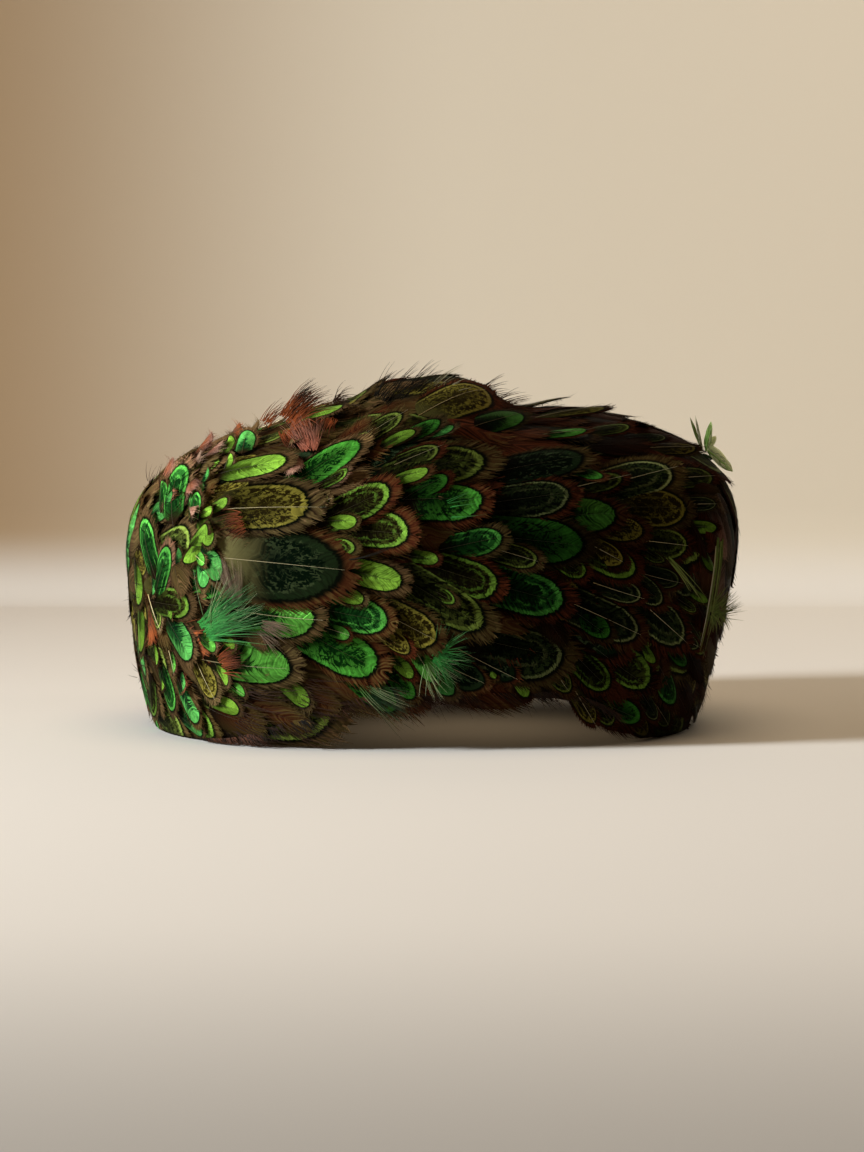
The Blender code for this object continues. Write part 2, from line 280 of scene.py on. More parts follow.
# Colours are linear red, green and blue. A feather has a core, a band round it and, past a thin dark
# border, a hairy fringe. bandEnd is a share of the way from the quill to the edge; the band begins at
# coreEnd at the tip and is sideBand wide at the sides. Streaks are marks that run along the barbs, the
# ring is a second, thinner line inside the band, and marks are fewer where lineLevel is higher. A kind
# whose bandEnd is below 0 is fringe all over.
featherKinds = {
    "uGreen": {
        "core": (0.0015, 0.0120, 0.0020), "line": (0.012, 0.070, 0.010), "band": (0.050, 0.215, 0.030),
        "coreEnd": 0.57, "bandEnd": 0.66, "sideBand": 0.060, "lineAmount": 0.8, "streaks": 0.8, "shine": 0.7,
        "ring": 0.8,
    },
    "uYellow": {
        "core": (0.0055, 0.0042, 0.0008), "line": (0.036, 0.048, 0.007), "band": (0.092, 0.190, 0.021),
        "coreEnd": 0.55, "bandEnd": 0.65, "sideBand": 0.070, "lineAmount": 0.8, "streaks": 0.4, "shine": 0.5,
        "ring": 0.5, "lineLevel": 0.51,
    },
    "uOlive": {
        "core": (0.0030, 0.0040, 0.0008), "line": (0.040, 0.050, 0.009), "band": (0.095, 0.135, 0.022),
        "coreEnd": 0.58, "bandEnd": 0.65, "sideBand": 0.050, "lineAmount": 0.8, "streaks": 0.3, "shine": 0.3,
        "ring": 0.5,
    },
    "uThin": {
        "core": (0.0015, 0.0036, 0.0012), "line": (0.028, 0.044, 0.013), "band": (0.125, 0.145, 0.055),
        "coreEnd": 0.618, "bandEnd": 0.65, "sideBand": 0.028, "lineAmount": 0.6, "streaks": 0.2, "shine": 0.2,
        "ring": 0.3,
    },
    "solidGreen": {
        "core": (0.0020, 0.0160, 0.0020), "line": (0.036, 0.110, 0.013), "band": (0.054, 0.200, 0.025),
        "coreEnd": 0.02, "bandEnd": 0.66, "sideBand": 0.130, "lineAmount": 0.9, "streaks": 0.6, "shine": 0.8,
    },
    "solidEmerald": {
        "core": (0.0018, 0.0150, 0.0045), "line": (0.018, 0.100, 0.018), "band": (0.042, 0.170, 0.034),
        "coreEnd": 0.02, "bandEnd": 0.66, "sideBand": 0.120, "lineAmount": 0.9, "streaks": 0.7, "shine": 0.9,
    },
    "solidLime": {
        "core": (0.0220, 0.0420, 0.0045), "line": (0.085, 0.160, 0.012), "band": (0.118, 0.240, 0.024),
        "coreEnd": 0.02, "bandEnd": 0.66, "sideBand": 0.300, "lineAmount": 0.9, "streaks": 0.5, "shine": 0.5,
    },
    "mottledOlive": {
        "core": (0.0130, 0.0090, 0.0013), "line": (0.135, 0.115, 0.018), "band": (0.115, 0.100, 0.016),
        "coreEnd": 0.60, "bandEnd": 0.65, "sideBand": 0.045, "lineAmount": 1.0, "streaks": 0.1, "shine": 0.2,
        "ring": 0.5, "root": (0.060, 0.054, 0.014), "rootEnd": 0.30, "tone": 0.40, "lineLevel": 0.51,
    },
    "mottledGreen": {
        "core": (0.0010, 0.0120, 0.0012), "line": (0.026, 0.115, 0.012), "band": (0.030, 0.150, 0.016),
        "coreEnd": 0.50, "bandEnd": 0.66, "sideBand": 0.060, "lineAmount": 1.0, "streaks": 0.3, "shine": 0.5,
    },
    "blackGreen": {
        "core": (0.0006, 0.0030, 0.0008), "line": (0.030, 0.046, 0.020), "band": (0.0010, 0.0060, 0.0012),
        "coreEnd": 0.60, "bandEnd": 0.72, "sideBand": 0.100, "lineAmount": 0.9, "streaks": 0.0, "shine": 0.0,
        "lineLevel": 0.56,
    },
    "plainBrown": {"bandEnd": -1.0, "tone": 0.42},
    "plainRust": {"bandEnd": -1.0, "tone": 0.67},
    "plainPink": {"bandEnd": -1.0, "tone": 0.93},
    "blackOlive": {
        "core": (0.0006, 0.0030, 0.0008), "line": (0.025, 0.036, 0.014), "band": (0.0006, 0.0040, 0.0008),
        "coreEnd": 0.60, "bandEnd": 0.72, "sideBand": 0.100, "lineAmount": 0.9, "streaks": 0.0, "shine": 0.0,
        "lineLevel": 0.53, "root": (0.270, 0.235, 0.085), "rootEnd": 0.54,
    },
}
kindNames = list(featherKinds)

# What a kind has where its own row doesn't say
usualKind = {
    "sideBand": 0.1, "lineAmount": 0.0, "lineLevel": 0.47, "ring": 0.0, "streaks": 0.0, "shine": 0.0,
    "rootEnd": 0.28,
}
coreBehindBand = 0.1  # how far inside bandEnd the core ends, as a share, where coreEnd isn't given


def groupSocket(group, name, direction, kind, default=None):
    socket = group.interface.new_socket(name=name, in_out=direction, socket_type=kind)
    if default is not None:
        socket.default_value = default


# Gives a socket a number, a colour or another node's output
def feed(tree, socket, value):
    if isinstance(value, (int, float)):
        socket.default_value = value
    elif isinstance(value, tuple):
        socket.default_value = (*value, 1.0)
    elif value is not None:
        tree.links.new(value, socket)


def mathNode(tree, operation, first, second=None, third=None):
    node = tree.nodes.new("ShaderNodeMath")
    node.operation = operation
    for place, value in enumerate((first, second, third)):
        feed(tree, node.inputs[place], value)
    return node.outputs[0]


def mixColours(tree, factor, low, high):
    node = tree.nodes.new("ShaderNodeMix")
    node.data_type = "RGBA"
    for place, value in ((0, factor), (6, low), (7, high)):
        feed(tree, node.inputs[place], value)
    return node.outputs[2]


def smoothMask(tree, value, low, high):
    node = tree.nodes.new("ShaderNodeMapRange")
    node.interpolation_type = "SMOOTHSTEP"
    for place, end in enumerate((value, low, high)):
        feed(tree, node.inputs[place], end)
    return node.outputs[0]


def noiseNode(tree, parts, detail, distortion):
    place = tree.nodes.new("ShaderNodeCombineXYZ")
    for socket, part in zip(place.inputs, parts):
        tree.links.new(part, socket)
    noise = tree.nodes.new("ShaderNodeTexNoise")
    noise.inputs["Scale"].default_value = 1.0
    noise.inputs["Detail"].default_value = detail
    noise.inputs["Distortion"].default_value = distortion
    tree.links.new(place.outputs[0], noise.inputs["Vector"])
    return noise.outputs[0]


def scaleColour(tree, colour, factor):
    node = tree.nodes.new("ShaderNodeVectorMath")
    node.operation = "SCALE"
    feed(tree, node.inputs[0], colour)
    feed(tree, node.inputs["Scale"], factor)
    return node.outputs[0]


patternLook = {
    "widest": 0.55,  # where the sides' straight lines end and the tip's half circle begins
    "raggedZones": 0.15,  # how far single barbs shift the zones
    "markPitch": 0.00085,
    "markLength": 0.0024,
    "markSoftness": 0.07,
    "patchSize": 0.0060,
    "patchDepth": 0.35,
    "strandsAlongQuill": 52.0,
    "strandWaves": 7.0,
    "waveScale": (2.2, 5.0),
    # the core's middle has fewer marks
    "middleMarks": 0.28,
    "middleZone": (0.02, 0.55),
    # the ring's place, how far it wanders, its half width with its soft edge, and the patches it shows in
    "ringZone": 0.35,
    "ringWander": 0.22,
    "ringHalf": (0.012, 0.045),
    "ringPatches": (0.38, 0.52),
    # the band: the places between which it widens towards the tip, and how marks and patches break it
    "bandWidens": (-0.45, 0.35),
    "bandWander": (2.6, 1.2, 2.0),
    "mostWander": 0.16,
    "bandTones": (1.9, 1.7, 1.6),
    "darkestBand": 0.85,
    "bandOffset": 0.65,
    "warmest": 0.45,
    # the thin dark border's colour, which also paints the gaps where barbs part, as painted shade
    "borderAndGapShade": (0.0015, 0.0022, 0.0008),
    "borderSoftness": 0.025,
    "fringeEdges": (0.045, 0.16),  # how far past the band the fringe begins and is full
    "rootDown": (0.012, 0.006, 0.0025),
    # painted shade: a feather's lightness is 0.5 at its root and rises to 1.15 past these shares of its
    # length, for the feathers over it
    "rootShadeSpan": (0.20, 0.80),
    "shadedRootLightness": 0.50,
    "strandContrast": (1.2, 2.6),  # in the coloured zone, and how much more in the fringe
    "darkestStrand": 0.15,
    # painted shade in the gaps where single barbs part
    "gapShadeLevels": (0.335, 0.365),
    "closedQuill": (0.55, 0.85),  # barbs don't part this close to the quill
    # the finish, what a shining band adds to it, and the depth and strength of the barbs' relief
    "roughness": 0.62,
    "bandRoughness": -0.22,
    "bandMetal": 0.25,
    "specular": 0.015,
    "specularTint": (0.40, 0.40, 0.36),
    "relief": (0.0006, 0.5),
    # the fringe's tones, from deep maroon through olive, brown and bright rust to a greyed pink
    "tones": (
        (0.00, (0.0120, 0.0034, 0.0012)),
        (0.22, (0.048, 0.0115, 0.0040)),
        (0.34, (0.036, 0.0260, 0.0075)),
        (0.43, (0.050, 0.0270, 0.0115)),
        (0.52, (0.060, 0.0430, 0.0150)),
        (0.60, (0.095, 0.0480, 0.0290)),
        (0.74, (0.190, 0.0470, 0.0120)),
        (0.88, (0.125, 0.0600, 0.0420)),
        (1.00, (0.175, 0.1150, 0.0760)),
    ),
}
# The group's inputs: what each point carries, a kind's colours and a kind's shares
pointSockets = ("Strand", "Seed", "Width", "Tone", "Shade")
colourSockets = ("Core", "Line", "Band")
shareSockets = (
    "Core End", "Band End", "Side Band", "Line Amount", "Line Level", "Ring", "Streaks", "Root End",
)


# The pattern of a feather, from its flat coordinates. Across is 0 at the quill and -1 and 1 at the
# edges, Along 0 at the root and 1 at the tip. zone = sqrt(across^2 + forward^2), so its level lines
# are the sides of a U closed by a half circle; contour is the distance along such a line.
def makePatternGroup():
    look = patternLook
    group = bpy.data.node_groups.new("featherPattern", "ShaderNodeTree")
    for name in ("Across", "Along", *pointSockets):
        groupSocket(group, name, "INPUT", "NodeSocketFloat")
    for name in (*colourSockets, "Root"):
        groupSocket(group, name, "INPUT", "NodeSocketColor")
    for name in shareSockets:
        groupSocket(group, name, "INPUT", "NodeSocketFloat", 0.5)
    groupSocket(group, "Colour", "OUTPUT", "NodeSocketColor")
    groupSocket(group, "Shine", "OUTPUT", "NodeSocketFloat")
    groupSocket(group, "Height", "OUTPUT", "NodeSocketFloat")
    given = group.nodes.new("NodeGroupInput").outputs
    result = group.nodes.new("NodeGroupOutput")

    def add(first, second):
        return mathNode(group, "ADD", first, second)

    def take(first, second):
        return mathNode(group, "SUBTRACT", first, second)

    def times(first, second):
        return mathNode(group, "MULTIPLY", first, second)

    # first times second plus third
    def timesAdd(first, second, third):
        return mathNode(group, "MULTIPLY_ADD", first, second, third)

    def larger(first, second):
        return mathNode(group, "MAXIMUM", first, second)

    def mask(value, ends):
        return smoothMask(group, value, ends[0], ends[1])

    # single barbs, as streaks that differ along the quill and wave a little
    seedShift = times(given["Seed"], 60.0)
    waveAcross, waveAlong = look["waveScale"]
    wavePlace = (times(given["Across"], waveAcross), times(given["Along"], waveAlong), seedShift)
    waves = times(take(noiseNode(group, wavePlace, 1.0, 0.0), 0.5), look["strandWaves"])
    strandPlace = timesAdd(given["Strand"], look["strandsAlongQuill"], waves)
    strands = noiseNode(group, (strandPlace, seedShift), 2.0, 0.0)
    strandShift = take(strands, 0.5)
    streakShift = times(strandShift, given["Streaks"])
    across = mathNode(group, "ABSOLUTE", given["Across"])
    sideShift = timesAdd(mathNode(group, "SIGN", given["Across"]), 3.7, seedShift)

    pastWidest = times(take(given["Along"], look["widest"]), 1.0 / (1.0 - look["widest"]))
    forward = larger(pastWidest, 0.0)
    radius = mathNode(group, "SQRT", add(times(across, across), times(forward, forward)))
    zone = timesAdd(strandShift, look["raggedZones"], radius)
    angle = mathNode(group, "ARCTAN2", across, add(forward, 0.0001))
    behind = larger(take(look["widest"], given["Along"]), 0.0)
    contour = times(add(times(angle, 0.5), times(behind, 1.95)), given["Width"])

    # fine wavy marks that run with the zones
    zoneWidth = times(zone, given["Width"])
    acrossMarks = times(zoneWidth, 0.5 / look["markPitch"])
    alongMarks = times(contour, 1.0 / look["markLength"])
    marks = noiseNode(group, (acrossMarks, alongMarks, sideShift), 1.5, 0.9)
    markShift = take(marks, 0.5)
    acrossPatches = times(zoneWidth, 0.5 / look["patchSize"])
    alongPatches = times(contour, 1.0 / look["patchSize"])
    patches = noiseNode(group, (acrossPatches, alongPatches, add(sideShift, 9.0)), 1.0, 0.0)
    patchShift = take(patches, 0.5)
    markLevel = add(timesAdd(patchShift, -look["patchDepth"], marks), streakShift)
    lineEnds = (given["Line Level"], add(given["Line Level"], look["markSoftness"]))
    outerCore = timesAdd(mask(zone, look["middleZone"]), 1.0 - look["middleMarks"], look["middleMarks"])
    lineMask = times(times(mask(markLevel, lineEnds), given["Line Amount"]), outerCore)
    colour = mixColours(group, lineMask, given["Core"], given["Line"])

    # the thin ring inside the band, broken where the patches are low
    fromRing = timesAdd(markShift, look["ringWander"], take(zone, look["ringZone"]))
    ringMask = take(1.0, mask(mathNode(group, "ABSOLUTE", fromRing), look["ringHalf"]))
    ringMask = times(times(ringMask, mask(patches, look["ringPatches"])), given["Ring"])
    colour = mixColours(group, ringMask, colour, given["Band"])

    # the band, narrow at the sides and wider at the tip; its inner edge is broken by the same marks
    tipPlace = timesAdd(patchShift, 1.4, timesAdd(streakShift, 2.0, pastWidest))
    tipShare = mask(tipPlace, look["bandWidens"])
    sideStart = take(given["Band End"], given["Side Band"])
    bandStart = timesAdd(tipShare, take(given["Core End"], sideStart), sideStart)
    bandWidth = take(given["Band End"], bandStart)
    markWander, patchWander, streakWander = look["bandWander"]
    wander = add(times(markShift, markWander), times(patchShift, patchWander))
    wander = timesAdd(streakShift, streakWander, wander)
    wanderWidth = mathNode(group, "MINIMUM", bandWidth, look["mostWander"])
    bandStart = timesAdd(wander, wanderWidth, bandStart)
    softness = larger(times(bandWidth, 0.4), 0.04)
    bandMask = mask(zone, (take(bandStart, softness), bandStart))
    markTone, patchTone, strandTone = look["bandTones"]
    bandTone = add(times(marks, markTone), times(patches, patchTone))
    bandTone = larger(timesAdd(strandShift, strandTone, bandTone), look["darkestBand"])
    bandColour = scaleColour(group, given["Band"], take(bandTone, look["bandOffset"]))
    warmth = times(mathNode(group, "FRACT", times(given["Seed"], 7.31)), look["warmest"])
    bandColour = mixColours(group, warmth, bandColour, scaleColour(group, given["Line"], 1.1))
    colour = mixColours(group, bandMask, colour, bandColour)

    # past the band the thin dark border, and the fringe with its own tones
    borderMask = mask(zone, (given["Band End"], add(given["Band End"], look["borderSoftness"])))
    colour = mixColours(group, borderMask, colour, look["borderAndGapShade"])
    fringeMask = mask(zone, [add(given["Band End"], edge) for edge in look["fringeEdges"]])
    ramp = group.nodes.new("ShaderNodeValToRGB")
    ramp.color_ramp.elements[1].color = (*look["tones"][-1][1], 1.0)
    ramp.color_ramp.elements[0].color = (*look["tones"][0][1], 1.0)
    for position, tone in look["tones"][1:-1]:
        ramp.color_ramp.elements.new(position).color = (*tone, 1.0)
    toneShift = timesAdd(strandShift, 0.30, times(take(zone, 0.85), 0.10))
    group.links.new(add(given["Tone"], toneShift), ramp.inputs[0])
    colour = mixColours(group, fringeMask, colour, ramp.outputs[0])

    # single barbs part here and there, and their gaps are painted with the border colour as painted shade of
    # the layer below
    gapShade = larger(mask(strands, look["gapShadeLevels"]), mask(take(1.0, across), look["closedQuill"]))
    colour = mixColours(group, gapShade, look["borderAndGapShade"], colour)

    # the downy root end is plain, a feather darkens towards it as painted shade under the feathers that
    # overlap it, single barbs differ, and Shade brings each feather's painted light and shade
    rootPlace = timesAdd(strandShift, 0.2, given["Along"])
    rootMask = mask(rootPlace, (times(given["Root End"], 0.25), given["Root End"]))
    colour = mixColours(group, rootMask, given["Root"], colour)
    contrast = timesAdd(fringeMask, look["strandContrast"][1], look["strandContrast"][0])
    lightness = larger(timesAdd(strandShift, contrast, 1.0), look["darkestStrand"])
    rootShade = timesAdd(mask(given["Along"], look["rootShadeSpan"]), 0.65, look["shadedRootLightness"])
    lightness = times(times(lightness, rootShade), given["Shade"])
    group.links.new(scaleColour(group, colour, lightness), result.inputs["Colour"])
    group.links.new(times(bandMask, take(1.0, borderMask)), result.inputs["Shine"])
    group.links.new(strands, result.inputs["Height"])
    return group


patternGroup = makePatternGroup()


def attributeOutput(tree, name):
    node = tree.nodes.new("ShaderNodeAttribute")
    node.attribute_name = name
    return node.outputs["Fac"]


def vaneCoordinates(tree):
    vane = tree.nodes.new("ShaderNodeUVMap")
    vane.uv_map = "vane"
    split = tree.nodes.new("ShaderNodeSeparateXYZ")
    tree.links.new(vane.outputs[0], split.inputs[0])
    return mathNode(tree, "MULTIPLY_ADD", split.outputs[0], 2.0, -1.0), split.outputs[1]


# The key under which featherKinds holds a socket's value, such as rootEnd for Root End
def socketKey(socket):
    return socket[0].lower() + socket[1:].replace(" ", "")


def addBump(tree, height, distance, strength):
    bump = tree.nodes.new("ShaderNodeBump")
    bump.inputs["Distance"].default_value = distance
    bump.inputs["Strength"].default_value = strength
    tree.links.new(height, bump.inputs["Height"])
    tree.links.new(bump.outputs[0], tree.nodes["Principled BSDF"].inputs["Normal"])


def makeFeatherMaterial(name):
    kind = {**usualKind, **featherKinds[name]}
    kind.setdefault("coreEnd", kind["bandEnd"] - coreBehindBand)
    material = bpy.data.materials.new("feather_" + name)
    material.use_nodes = True
    tree = material.node_tree
    shader = tree.nodes["Principled BSDF"]
    pattern = tree.nodes.new("ShaderNodeGroup")
    pattern.node_tree = patternGroup
    across, along = vaneCoordinates(tree)
    tree.links.new(across, pattern.inputs["Across"])
    tree.links.new(along, pattern.inputs["Along"])
    for socket in pointSockets:
        tree.links.new(attributeOutput(tree, socket.lower()), pattern.inputs[socket])
    for socket in colourSockets:
        pattern.inputs[socket].default_value = (*kind.get(socket.lower(), patternLook["borderAndGapShade"]), 1.0)
    pattern.inputs["Root"].default_value = (*kind.get("root", patternLook["rootDown"]), 1.0)
    for socket in shareSockets:
        pattern.inputs[socket].default_value = kind[socketKey(socket)]
    tree.links.new(pattern.outputs["Colour"], shader.inputs["Base Color"])
    look, shine = patternLook, pattern.outputs["Shine"]
    roughness = mathNode(tree, "MULTIPLY_ADD", shine, look["bandRoughness"], look["roughness"])
    tree.links.new(roughness, shader.inputs["Roughness"])
    metallic = mathNode(tree, "MULTIPLY", shine, look["bandMetal"] * kind["shine"])
    tree.links.new(metallic, shader.inputs["Metallic"])
    feed(tree, shader.inputs["Specular IOR Level"], look["specular"])
    feed(tree, shader.inputs["Specular Tint"], look["specularTint"])
    addBump(tree, pattern.outputs["Height"], *look["relief"])
    return material


def makePlainMaterial(name, colour, roughness):
    material = bpy.data.materials.new(name)
    material.use_nodes = True
    shader = material.node_tree.nodes["Principled BSDF"]
    shader.inputs["Base Color"].default_value = (*colour, 1.0)
    shader.inputs["Roughness"].default_value = roughness
    return material


allMaterials = [makeFeatherMaterial(name) for name in kindNames]

# Colours along quills, loose hairs and down, at the root and at the tip
strandColours = {
    "quill_cream": ((0.34, 0.25, 0.10), (0.62, 0.56, 0.34)),
    "quill_dark": ((0.020, 0.012, 0.004), (0.060, 0.050, 0.020)),
    "hairs_brown": ((0.020, 0.007, 0.002), (0.030, 0.012, 0.005)),
    "hairs_black": ((0.004, 0.004, 0.002), (0.012, 0.008, 0.004)),
    "hairs_rust": ((0.22, 0.050, 0.012), (0.045, 0.014, 0.006)),
    "hairs_pink": ((0.26, 0.080, 0.045), (0.24, 0.11, 0.075)),
    "hairs_plume": ((0.12, 0.075, 0.045), (0.25, 0.18, 0.12)),
    "hairs_redBrown": ((0.075, 0.024, 0.009), (0.040, 0.016, 0.008)),
    "hairs_emerald": ((0.030, 0.24, 0.040), (0.050, 0.12, 0.042)),
    "hairs_paleGreen": ((0.08, 0.20, 0.04), (0.42, 0.46, 0.26)),
    "hairs_darkGreen": ((0.008, 0.045, 0.010), (0.055, 0.075, 0.040)),
    "hairs_olive": ((0.10, 0.15, 0.025), (0.16, 0.17, 0.05)),
    "hairs_cream": ((0.26, 0.24, 0.13), (0.46, 0.43, 0.30)),
    "hairs_tuftPale": ((0.80, 0.90, 0.50), (0.90, 0.95, 0.62)),
    "hairs_tuftGreen": ((0.28, 0.52, 0.11), (0.46, 0.62, 0.20)),
}
# Roughness, sheen, how light the darkest single ones are, and how much lighter the lightest
strandFinish = {
    "quill_cream": (0.4, 0.20, 0.70, 0.6),
    "quill_dark": (0.5, 0.20, 0.70, 0.6),
    "hairs": (0.6, 0.15, 0.55, 0.9),
}


# A quill is also as dark as the feather it carries: it takes that feather's painted light and shade
def makeStrandMaterial(name):
    isQuill = name in strandFinish
    roughness, sheen, darkest, spread = strandFinish[name if isQuill else "hairs"]
    root, tip = strandColours[name]
    material = makePlainMaterial(name, root, roughness)
    tree = material.node_tree
    shader = tree.nodes["Principled BSDF"]
    colour = mixColours(tree, vaneCoordinates(tree)[1], root, tip)
    differs = attributeOutput(tree, "seed" if isQuill else "strand")
    lightness = mathNode(tree, "MULTIPLY_ADD", differs, spread, darkest)
    if isQuill:
        lightness = mathNode(tree, "MULTIPLY", lightness, attributeOutput(tree, "shade"))
    tree.links.new(scaleColour(tree, colour, lightness), shader.inputs["Base Color"])
    shader.inputs["Specular IOR Level"].default_value = sheen
    return material


allMaterials += [makeStrandMaterial(name) for name in strandColours]
materialNames = [material.name for material in allMaterials]
print("materials made")


# The values that every point of a feather or a hair carries for its material
pointAttributes = ("strand", "seed", "width", "tone", "shade")


# One mesh from flat arrays: its points and quads, its two UV maps, its attributes and its materials
def meshFromArrays(name, arrays, materials):
    mesh = bpy.data.meshes.new(name)
    points, faces = arrays["points"], arrays["faces"]
    mesh.vertices.add(len(points))
    mesh.vertices.foreach_set("co", points.astype(np.float32).ravel())
    mesh.loops.add(faces.size)
    mesh.loops.foreach_set("vertex_index", faces.astype(np.int32).ravel())
    mesh.polygons.add(len(faces))
    mesh.polygons.foreach_set("loop_start", np.arange(0, faces.size, 4, dtype=np.int32))
    mesh.polygons.foreach_set("material_index", arrays["material"].astype(np.int32))
    mesh.update(calc_edges=True)
    for mapName, key in (("OFBake", "bakeUv"), ("vane", "vaneUv")):
        layer = mesh.uv_layers.new(name=mapName)
        layer.data.foreach_set("uv", arrays[key][faces.ravel()].astype(np.float32).ravel())
    for attributeName in pointAttributes:
        attribute = mesh.attributes.new(attributeName, "FLOAT", "POINT")
        attribute.data.foreach_set("value", arrays[attributeName].astype(np.float32))
    for material in materials:
        mesh.materials.append(material)
    mesh.shade_smooth()
    mesh.validate()
    return addObject(name, mesh)


featherBuild = {
    # places along the feather are shares of its length; outlineTurn is how far round the outline from
    # the tip the lowest barb ends, in radians
    "widest": patternLook["widest"],
    "outlineTurn": 2.3,
    "outlinePower": 0.9,
    "lengthToWidth": 1.95,
    "lastBarb": 0.94,  # where the barb nearest the tip leaves the quill
    "barbBow": (0.60, 0.26),  # a barb's control point, as shares of its way across and along
    # the vane's grid, and the single barbs past it with their half widths as shares of their spacing
    "vaneRoots": (0.02, 0.99),
    "stations": 11,
    "columns": 9,
    "vaneEnd": 0.86,
    "hairs": 62,
    "hairPlaces": (0.70, 0.86, 1.0),
    "hairHalfWidths": (0.60, 0.42, 0.07),
    "hairSpacing": (0.00015, 0.00080),
    "hairReach": (0.8, 1.35),
    "hairLift": 0.0005,
    "hairOverVane": 0.00008,
    "quillEnd": 0.97,
    "quillOver": (0.4, 0.0001),  # how far its line is over the vane: a share of its half width, and metres
    "quillRings": 7,
    "quillWidth": 0.00038,
    "quillTaper": 0.86,
    "paleQuill": 0.7,  # quills of more than this share of the full width are pale
    # heights over the cap: a feather rises from its root to its tip about its anchor, a share of its length
    "anchor": 0.62,
    "rootLift": 0.0011,
    "tipRise": 0.0040,
    "hiddenRise": 0.0017,
    "shownLift": 0.0014,
    "guessedHeight": 0.003,
    "camber": 0.0016,
    "camberMiddle": 0.35,
    "curlFrom": 0.6,  # the share of the length past which a feather curls
    "leastHeight": 0.0004,
    # over the floor a point keeps this, and a share of its height over the cap
    "floorClearance": 0.0005,
    "floorShare": 0.25,
    # towards the rim and the front the feathers lie flatter, and in a few places they stand off
    "flatShare": 0.32,
    "flatBelow": 0.055,
    "flatBefore": -0.060,
    "frontFlatTop": (0.050, 0.080),
    # fore-aft angle, its spread, side spread, height
    "standsOff": [
        (165.0, 17.0, 40.0, 0.0078), (106.0, 14.0, 60.0, 0.0038), (80.0, 8.0, 60.0, 0.0022),
        (54.0, 8.0, 60.0, 0.0022),
    ],
}


# Puts flat feather coordinates (across, along, height) of many feathers onto the hat: a point of each
# one's tangent plane is drawn in towards hatCentre until it lies at that height over the cap
def layOnHat(feathers, across, along, height):
    extra = (1,) * (across.ndim - 1)
    anchor = feathers["anchor"].reshape(-1, *extra, 3)
    forward = feathers["forward"].reshape(-1, *extra, 3)
    sideways = feathers["sideways"].reshape(-1, *extra, 3)
    flat = anchor + forward * along[..., None] + sideways * across[..., None]
    directions = unit(flat - hatCentre)
    points = capPoints(directions, height + standOff(directions))
    floor = featherBuild["floorClearance"] + featherBuild["floorShare"] * np.maximum(height, 0.0)
    points[..., 2] = np.where(points[..., 2] < floor, floor, points[..., 2])
    return points


# A barb leaves the quill at root, a share of its length to the power sweep, and curves out along
# (1-k)^2 start + 2k(1-k) control + k^2 end to the outline, which is
# across = W/2 sin(phi)^blunt, along = L (widest + (1 - widest) cos(phi)), phi = 0 at the tip
def barbPoints(feathers, root, ended, place, shape):
    widest, (bowAcross, bowAlong) = featherBuild["widest"], featherBuild["barbBow"]
    length, halfWidth = feathers["length"].reshape(shape), feathers["width"].reshape(shape) / 2.0
    phi = featherBuild["outlineTurn"] * np.clip(1.0 - ended, 0.004, 1.0) ** featherBuild["outlinePower"]
    sweep = feathers["sweep"].reshape(shape)
    startAlong = featherBuild["lastBarb"] * np.clip(root, 0.0, 1.0) ** sweep * length
    endAcross = halfWidth * np.sin(phi) ** feathers["blunt"].reshape(shape)
    endAlong = length * (widest + (1.0 - widest) * np.cos(phi))
    middleWeight, endWeight = 2.0 * place * (1.0 - place), place**2
    across = (bowAcross * middleWeight + endWeight) * endAcross
    along = startAlong + (bowAlong * middleWeight + endWeight) * (endAlong - startAlong)
    return across, along


# Height of a feather's face over the cap, from its flat coordinates: its root's height, the rise to the
# tip, the camber across, the roll to one side and the curl of its last part
def featherHeight(feathers, across, along, five):
    curlFrom = featherBuild["curlFrom"]
    share = np.clip(along / feathers["length"].reshape(five), -0.1, 1.3)
    outward = across / (feathers["width"].reshape(five) / 2.0)
    return (
        feathers["lift"].reshape(five)
        + feathers["rise"].reshape(five) * share
        + featherBuild["camber"] * (featherBuild["camberMiddle"] - outward**2)
        + feathers["roll"].reshape(five) * across
        + feathers["curl"].reshape(five) * np.clip((share - curlFrom) / (1.0 - curlFrom), 0.0, 1.5) ** 2
    )


# The quill's bow moves points sideways by bend L s^2, and one side of the vane is broader by the skew
def bentAcross(feathers, across, along, five):
    length = feathers["length"].reshape(five)
    bow = feathers["bend"].reshape(five) * length * np.clip(along / length, 0.0, 1.2) ** 2
    return across * (1.0 + feathers["skew"].reshape(five) * np.sign(across)) + bow


# Gathers what the materials read at each point of a feather's face, from its flat coordinates
def featherPoints(feathers, across, along, height, strand, five):
    length, width = feathers["length"].reshape(five), feathers["width"].reshape(five)
    flatAlong = along - featherBuild["anchor"] * length
    height = np.maximum(height, featherBuild["leastHeight"])
    points = layOnHat(feathers, bentAcross(feathers, across, along, five), flatAlong, height)
    vaneUv = np.stack([0.5 + across / width, along / length + 0.0 * across], axis=-1)
    inCell = np.clip(vaneUv, 0.0, 1.0)
    values = {"points": points.reshape(-1, 3), "vaneUv": vaneUv.reshape(-1, 2)}
    cells = atlasPlaces(len(length), inCell[..., 0] * mapCells["vaneWidth"], inCell[..., 1])
    values["bakeUv"] = cells.reshape(-1, 2)
    values["strand"] = np.broadcast_to(strand, across.shape).ravel()
    for name in pointAttributes[1:]:
        values[name] = np.broadcast_to(feathers[name].reshape(five), across.shape).ravel()
    return values


